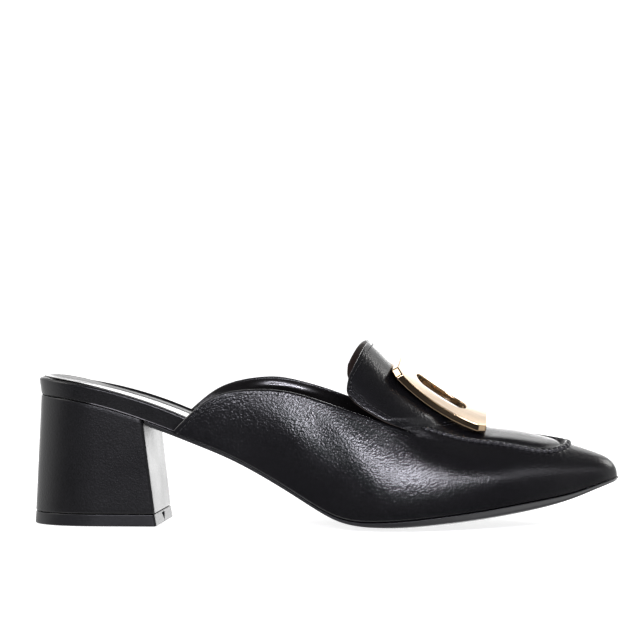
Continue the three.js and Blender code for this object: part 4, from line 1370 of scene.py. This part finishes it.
# ---- floor, light and camera
studio = {
    "floorSize": 14.0, "floorDrop": 0.0002, "floorDark": (0.9, 0.9, 0.9), "floorPale": (0.94, 0.94, 0.94),
    "floorGlow": 0.8, "toCamera": 1.4, "lightTarget": (0.0, 0.0, 0.04),
    # elevation and turn from the camera side towards the toe, size, roll of the toe's end upwards
    "lights": [
        {"name": "frontSoftbox", "elevation": 29.0, "turn": 21, "distance": 1.7, "width": 0.68,
         "height": 0.08, "roll": 38, "brightness": 62.0, "color": (0.91, 0.90, 1.0)},
        {"name": "frontMiddle", "elevation": 19.2, "turn": 2, "distance": 1.7, "width": 0.66,
         "height": 0.08, "roll": 14, "brightness": 68.0, "color": (0.91, 0.90, 1.0)},
        {"name": "frontCorner", "elevation": 21, "turn": -12, "distance": 1.7, "width": 0.2,
         "height": 0.2, "roll": 0, "brightness": 13.0, "color": (0.91, 0.90, 1.0)},
        {"name": "frontStrip", "elevation": 34, "turn": 50, "distance": 1.7, "width": 0.85,
         "height": 0.12, "roll": 0, "brightness": 3.5, "color": (0.93, 0.92, 1.0)},
        {"name": "backCorner", "elevation": 54, "turn": -66, "distance": 1.6, "width": 0.3,
         "height": 0.3, "roll": 0, "brightness": 5.0, "color": (1.0, 0.98, 0.95)},
        {"name": "toeSoftbox", "elevation": 35, "turn": 122, "distance": 1.6, "width": 0.6,
         "height": 0.5, "roll": 0, "brightness": 5.0, "color": (1.0, 0.99, 0.97)},
        {"name": "heelSoftbox", "elevation": 37, "turn": -82, "distance": 1.6, "width": 0.9,
         "height": 0.5, "roll": 0, "brightness": 5.0, "color": (1.0, 0.98, 0.95)},
    ],
    # the room's glow is the sum of these parts, each a product of steps along one axis of the direction
    "room": {
        "walls": [{"axis": "Y", "from": -0.7, "to": 0.1, "low": 0.04, "high": 0.75},
                  {"axis": "Z", "from": 0.45, "to": 0.8, "low": 1.0, "high": 0.15}],
        "behind": [{"axis": "Y", "from": 0.45, "to": 0.75, "low": 0.0, "high": 1.7},
                   {"axis": "Z", "from": 0.4, "to": 0.52, "low": 0.2, "high": 1.0},
                   {"axis": "Z", "from": 0.7, "to": 0.84, "low": 1.0, "high": 0.0},
                   {"axis": "X", "from": 0.26, "to": 0.42, "low": 1.0, "high": 0.2},
                   {"axis": "X", "from": -0.1, "to": 0.02, "low": 0.15, "high": 1.0}],
        "sheet": [{"axis": "Y", "from": 0.8, "to": 0.95, "low": 0.0, "high": 2.3},
                  {"axis": "Z", "from": 0.18, "to": 0.36, "low": 1.0, "high": 0.0}],
    },
    "underside": {"glow": 1.3, "from": -0.4, "to": -0.72},
}


def makeFloor():
    mesh = bpy.data.meshes.new("floor")
    size, low = studio["floorSize"], -studio["floorDrop"]
    mesh.from_pydata([(x * size, y * size, low) for x, y in ((-1, -1), (1, -1), (1, 1), (-1, 1))], [],
                     [(0, 1, 2, 3)])
    floor = bpy.data.objects.new("floor", mesh)
    bpy.context.scene.collection.objects.link(floor)
    material, nodes, links, shader = newMaterial("paleFloor")
    place = node(nodes, "ShaderNodeTexCoord").outputs["Object"]
    mottle = node(nodes, "ShaderNodeTexNoise", Scale=3.0, Detail=2.0)
    links.new(place, mottle.inputs["Vector"])
    tone = toned(nodes, links, mottle.outputs[0], studio["floorDark"], studio["floorPale"])
    links.new(tone, shader.inputs["Base Color"])
    shader.inputs["Roughness"].default_value = 0.9
    shader.inputs["Specular IOR Level"].default_value = 0.1
    shader.inputs["Emission Color"].default_value = (1, 1, 1, 1)
    shader.inputs["Emission Strength"].default_value = studio["floorGlow"]
    mesh.materials.append(material)
    floor.visible_glossy = False


makeFloor()


def aimedAt(spot, target, roll=0.0):
    back = unit(np.array(spot, float) - np.array(target, float))
    right = unit(np.cross([0, 0, 1.0], back))
    up = np.cross(back, right)
    r = math.radians(roll)
    right, up = right * math.cos(r) + up * math.sin(r), up * math.cos(r) - right * math.sin(r)
    m = np.eye(4)
    m[:3, 0], m[:3, 1], m[:3, 2], m[:3, 3] = right, up, back, spot
    return m


def makeLights():
    target = np.array(studio["lightTarget"])
    for look in studio["lights"]:
        data = bpy.data.lights.new(look["name"], "AREA")
        data.shape = "RECTANGLE"
        data.size, data.size_y = look["width"], look["height"]
        data.energy = look["brightness"] * math.pi * look["width"] * look["height"]
        data.color = look["color"]
        light = bpy.data.objects.new(look["name"], data)
        e, t = math.radians(look["elevation"]), math.radians(look["turn"])
        away = np.array([math.cos(e) * math.sin(t), -math.cos(e) * math.cos(t), math.sin(e)])
        spot = target + look["distance"] * away
        light.matrix_world = [list(r) for r in aimedAt(spot, target, look["roll"]).T]
        bpy.context.scene.collection.objects.link(light)
        light.visible_camera = False


makeLights()


def makeWorld():
    # a white backdrop to the eye, and for reflections a dark room with pale panels behind the shoe
    world = bpy.data.worlds.new("studio")
    bpy.context.scene.world = world
    world.use_nodes = True
    nodes, links = world.node_tree.nodes, world.node_tree.links
    background = nodes["Background"]
    split = node(nodes, "ShaderNodeSeparateXYZ")
    links.new(node(nodes, "ShaderNodeTexCoord").outputs["Generated"], split.inputs["Vector"])

    def step(axis, start, end, low, high):
        return mapped(nodes, links, split.outputs[axis], start, end, low, high,
                      interpolation_type="SMOOTHSTEP")

    def joined(kind, a, b):
        made = node(nodes, "ShaderNodeMath", operation=kind)
        links.new(a, made.inputs[0])
        links.new(b, made.inputs[1])
        return made.outputs[0]

    def blended(share, a, b):
        made = node(nodes, "ShaderNodeMix")
        links.new(share, made.inputs["Factor"])
        links.new(a, made.inputs["A"])
        made.inputs["B"].default_value = b
        return made.outputs["Result"]

    glow = None
    for steps in studio["room"].values():
        part = None
        for s in steps:
            made = step(s["axis"], s["from"], s["to"], s["low"], s["high"])
            part = made if part is None else joined("MULTIPLY", part, made)
        glow = part if glow is None else joined("ADD", glow, part)
    under = studio["underside"]
    room = blended(step("Z", under["from"], under["to"], 0.0, 1.0), glow, under["glow"])
    toEye = node(nodes, "ShaderNodeLightPath").outputs["Is Camera Ray"]
    links.new(blended(toEye, room, studio["toCamera"]), background.inputs["Strength"])
    background.inputs["Color"].default_value = (1, 1, 1, 1)


makeWorld()

cameraLook = {"target": (119.0, 0.0, 86.2), "distance": 880.0, "turn": 5.0, "lens": 116.5}


def makeCamera():
    data = bpy.data.cameras.new("camera")
    data.sensor_width = 36.0
    data.lens = cameraLook["lens"]
    data.clip_start = 0.05
    data.clip_end = 60.0
    camera = bpy.data.objects.new("camera", data)
    t = math.radians(cameraLook["turn"])
    target = np.array(cameraLook["target"])
    spot = target + cameraLook["distance"] * np.array([math.sin(t), -math.cos(t), 0])
    camera.matrix_world = [list(r) for r in aimedAt(inFrame(spot), inFrame(target)).T]
    bpy.context.scene.collection.objects.link(camera)
    bpy.context.scene.camera = camera


makeCamera()
scene = bpy.context.scene
scene.view_settings.view_transform = "Standard"
scene.view_settings.look = "None"
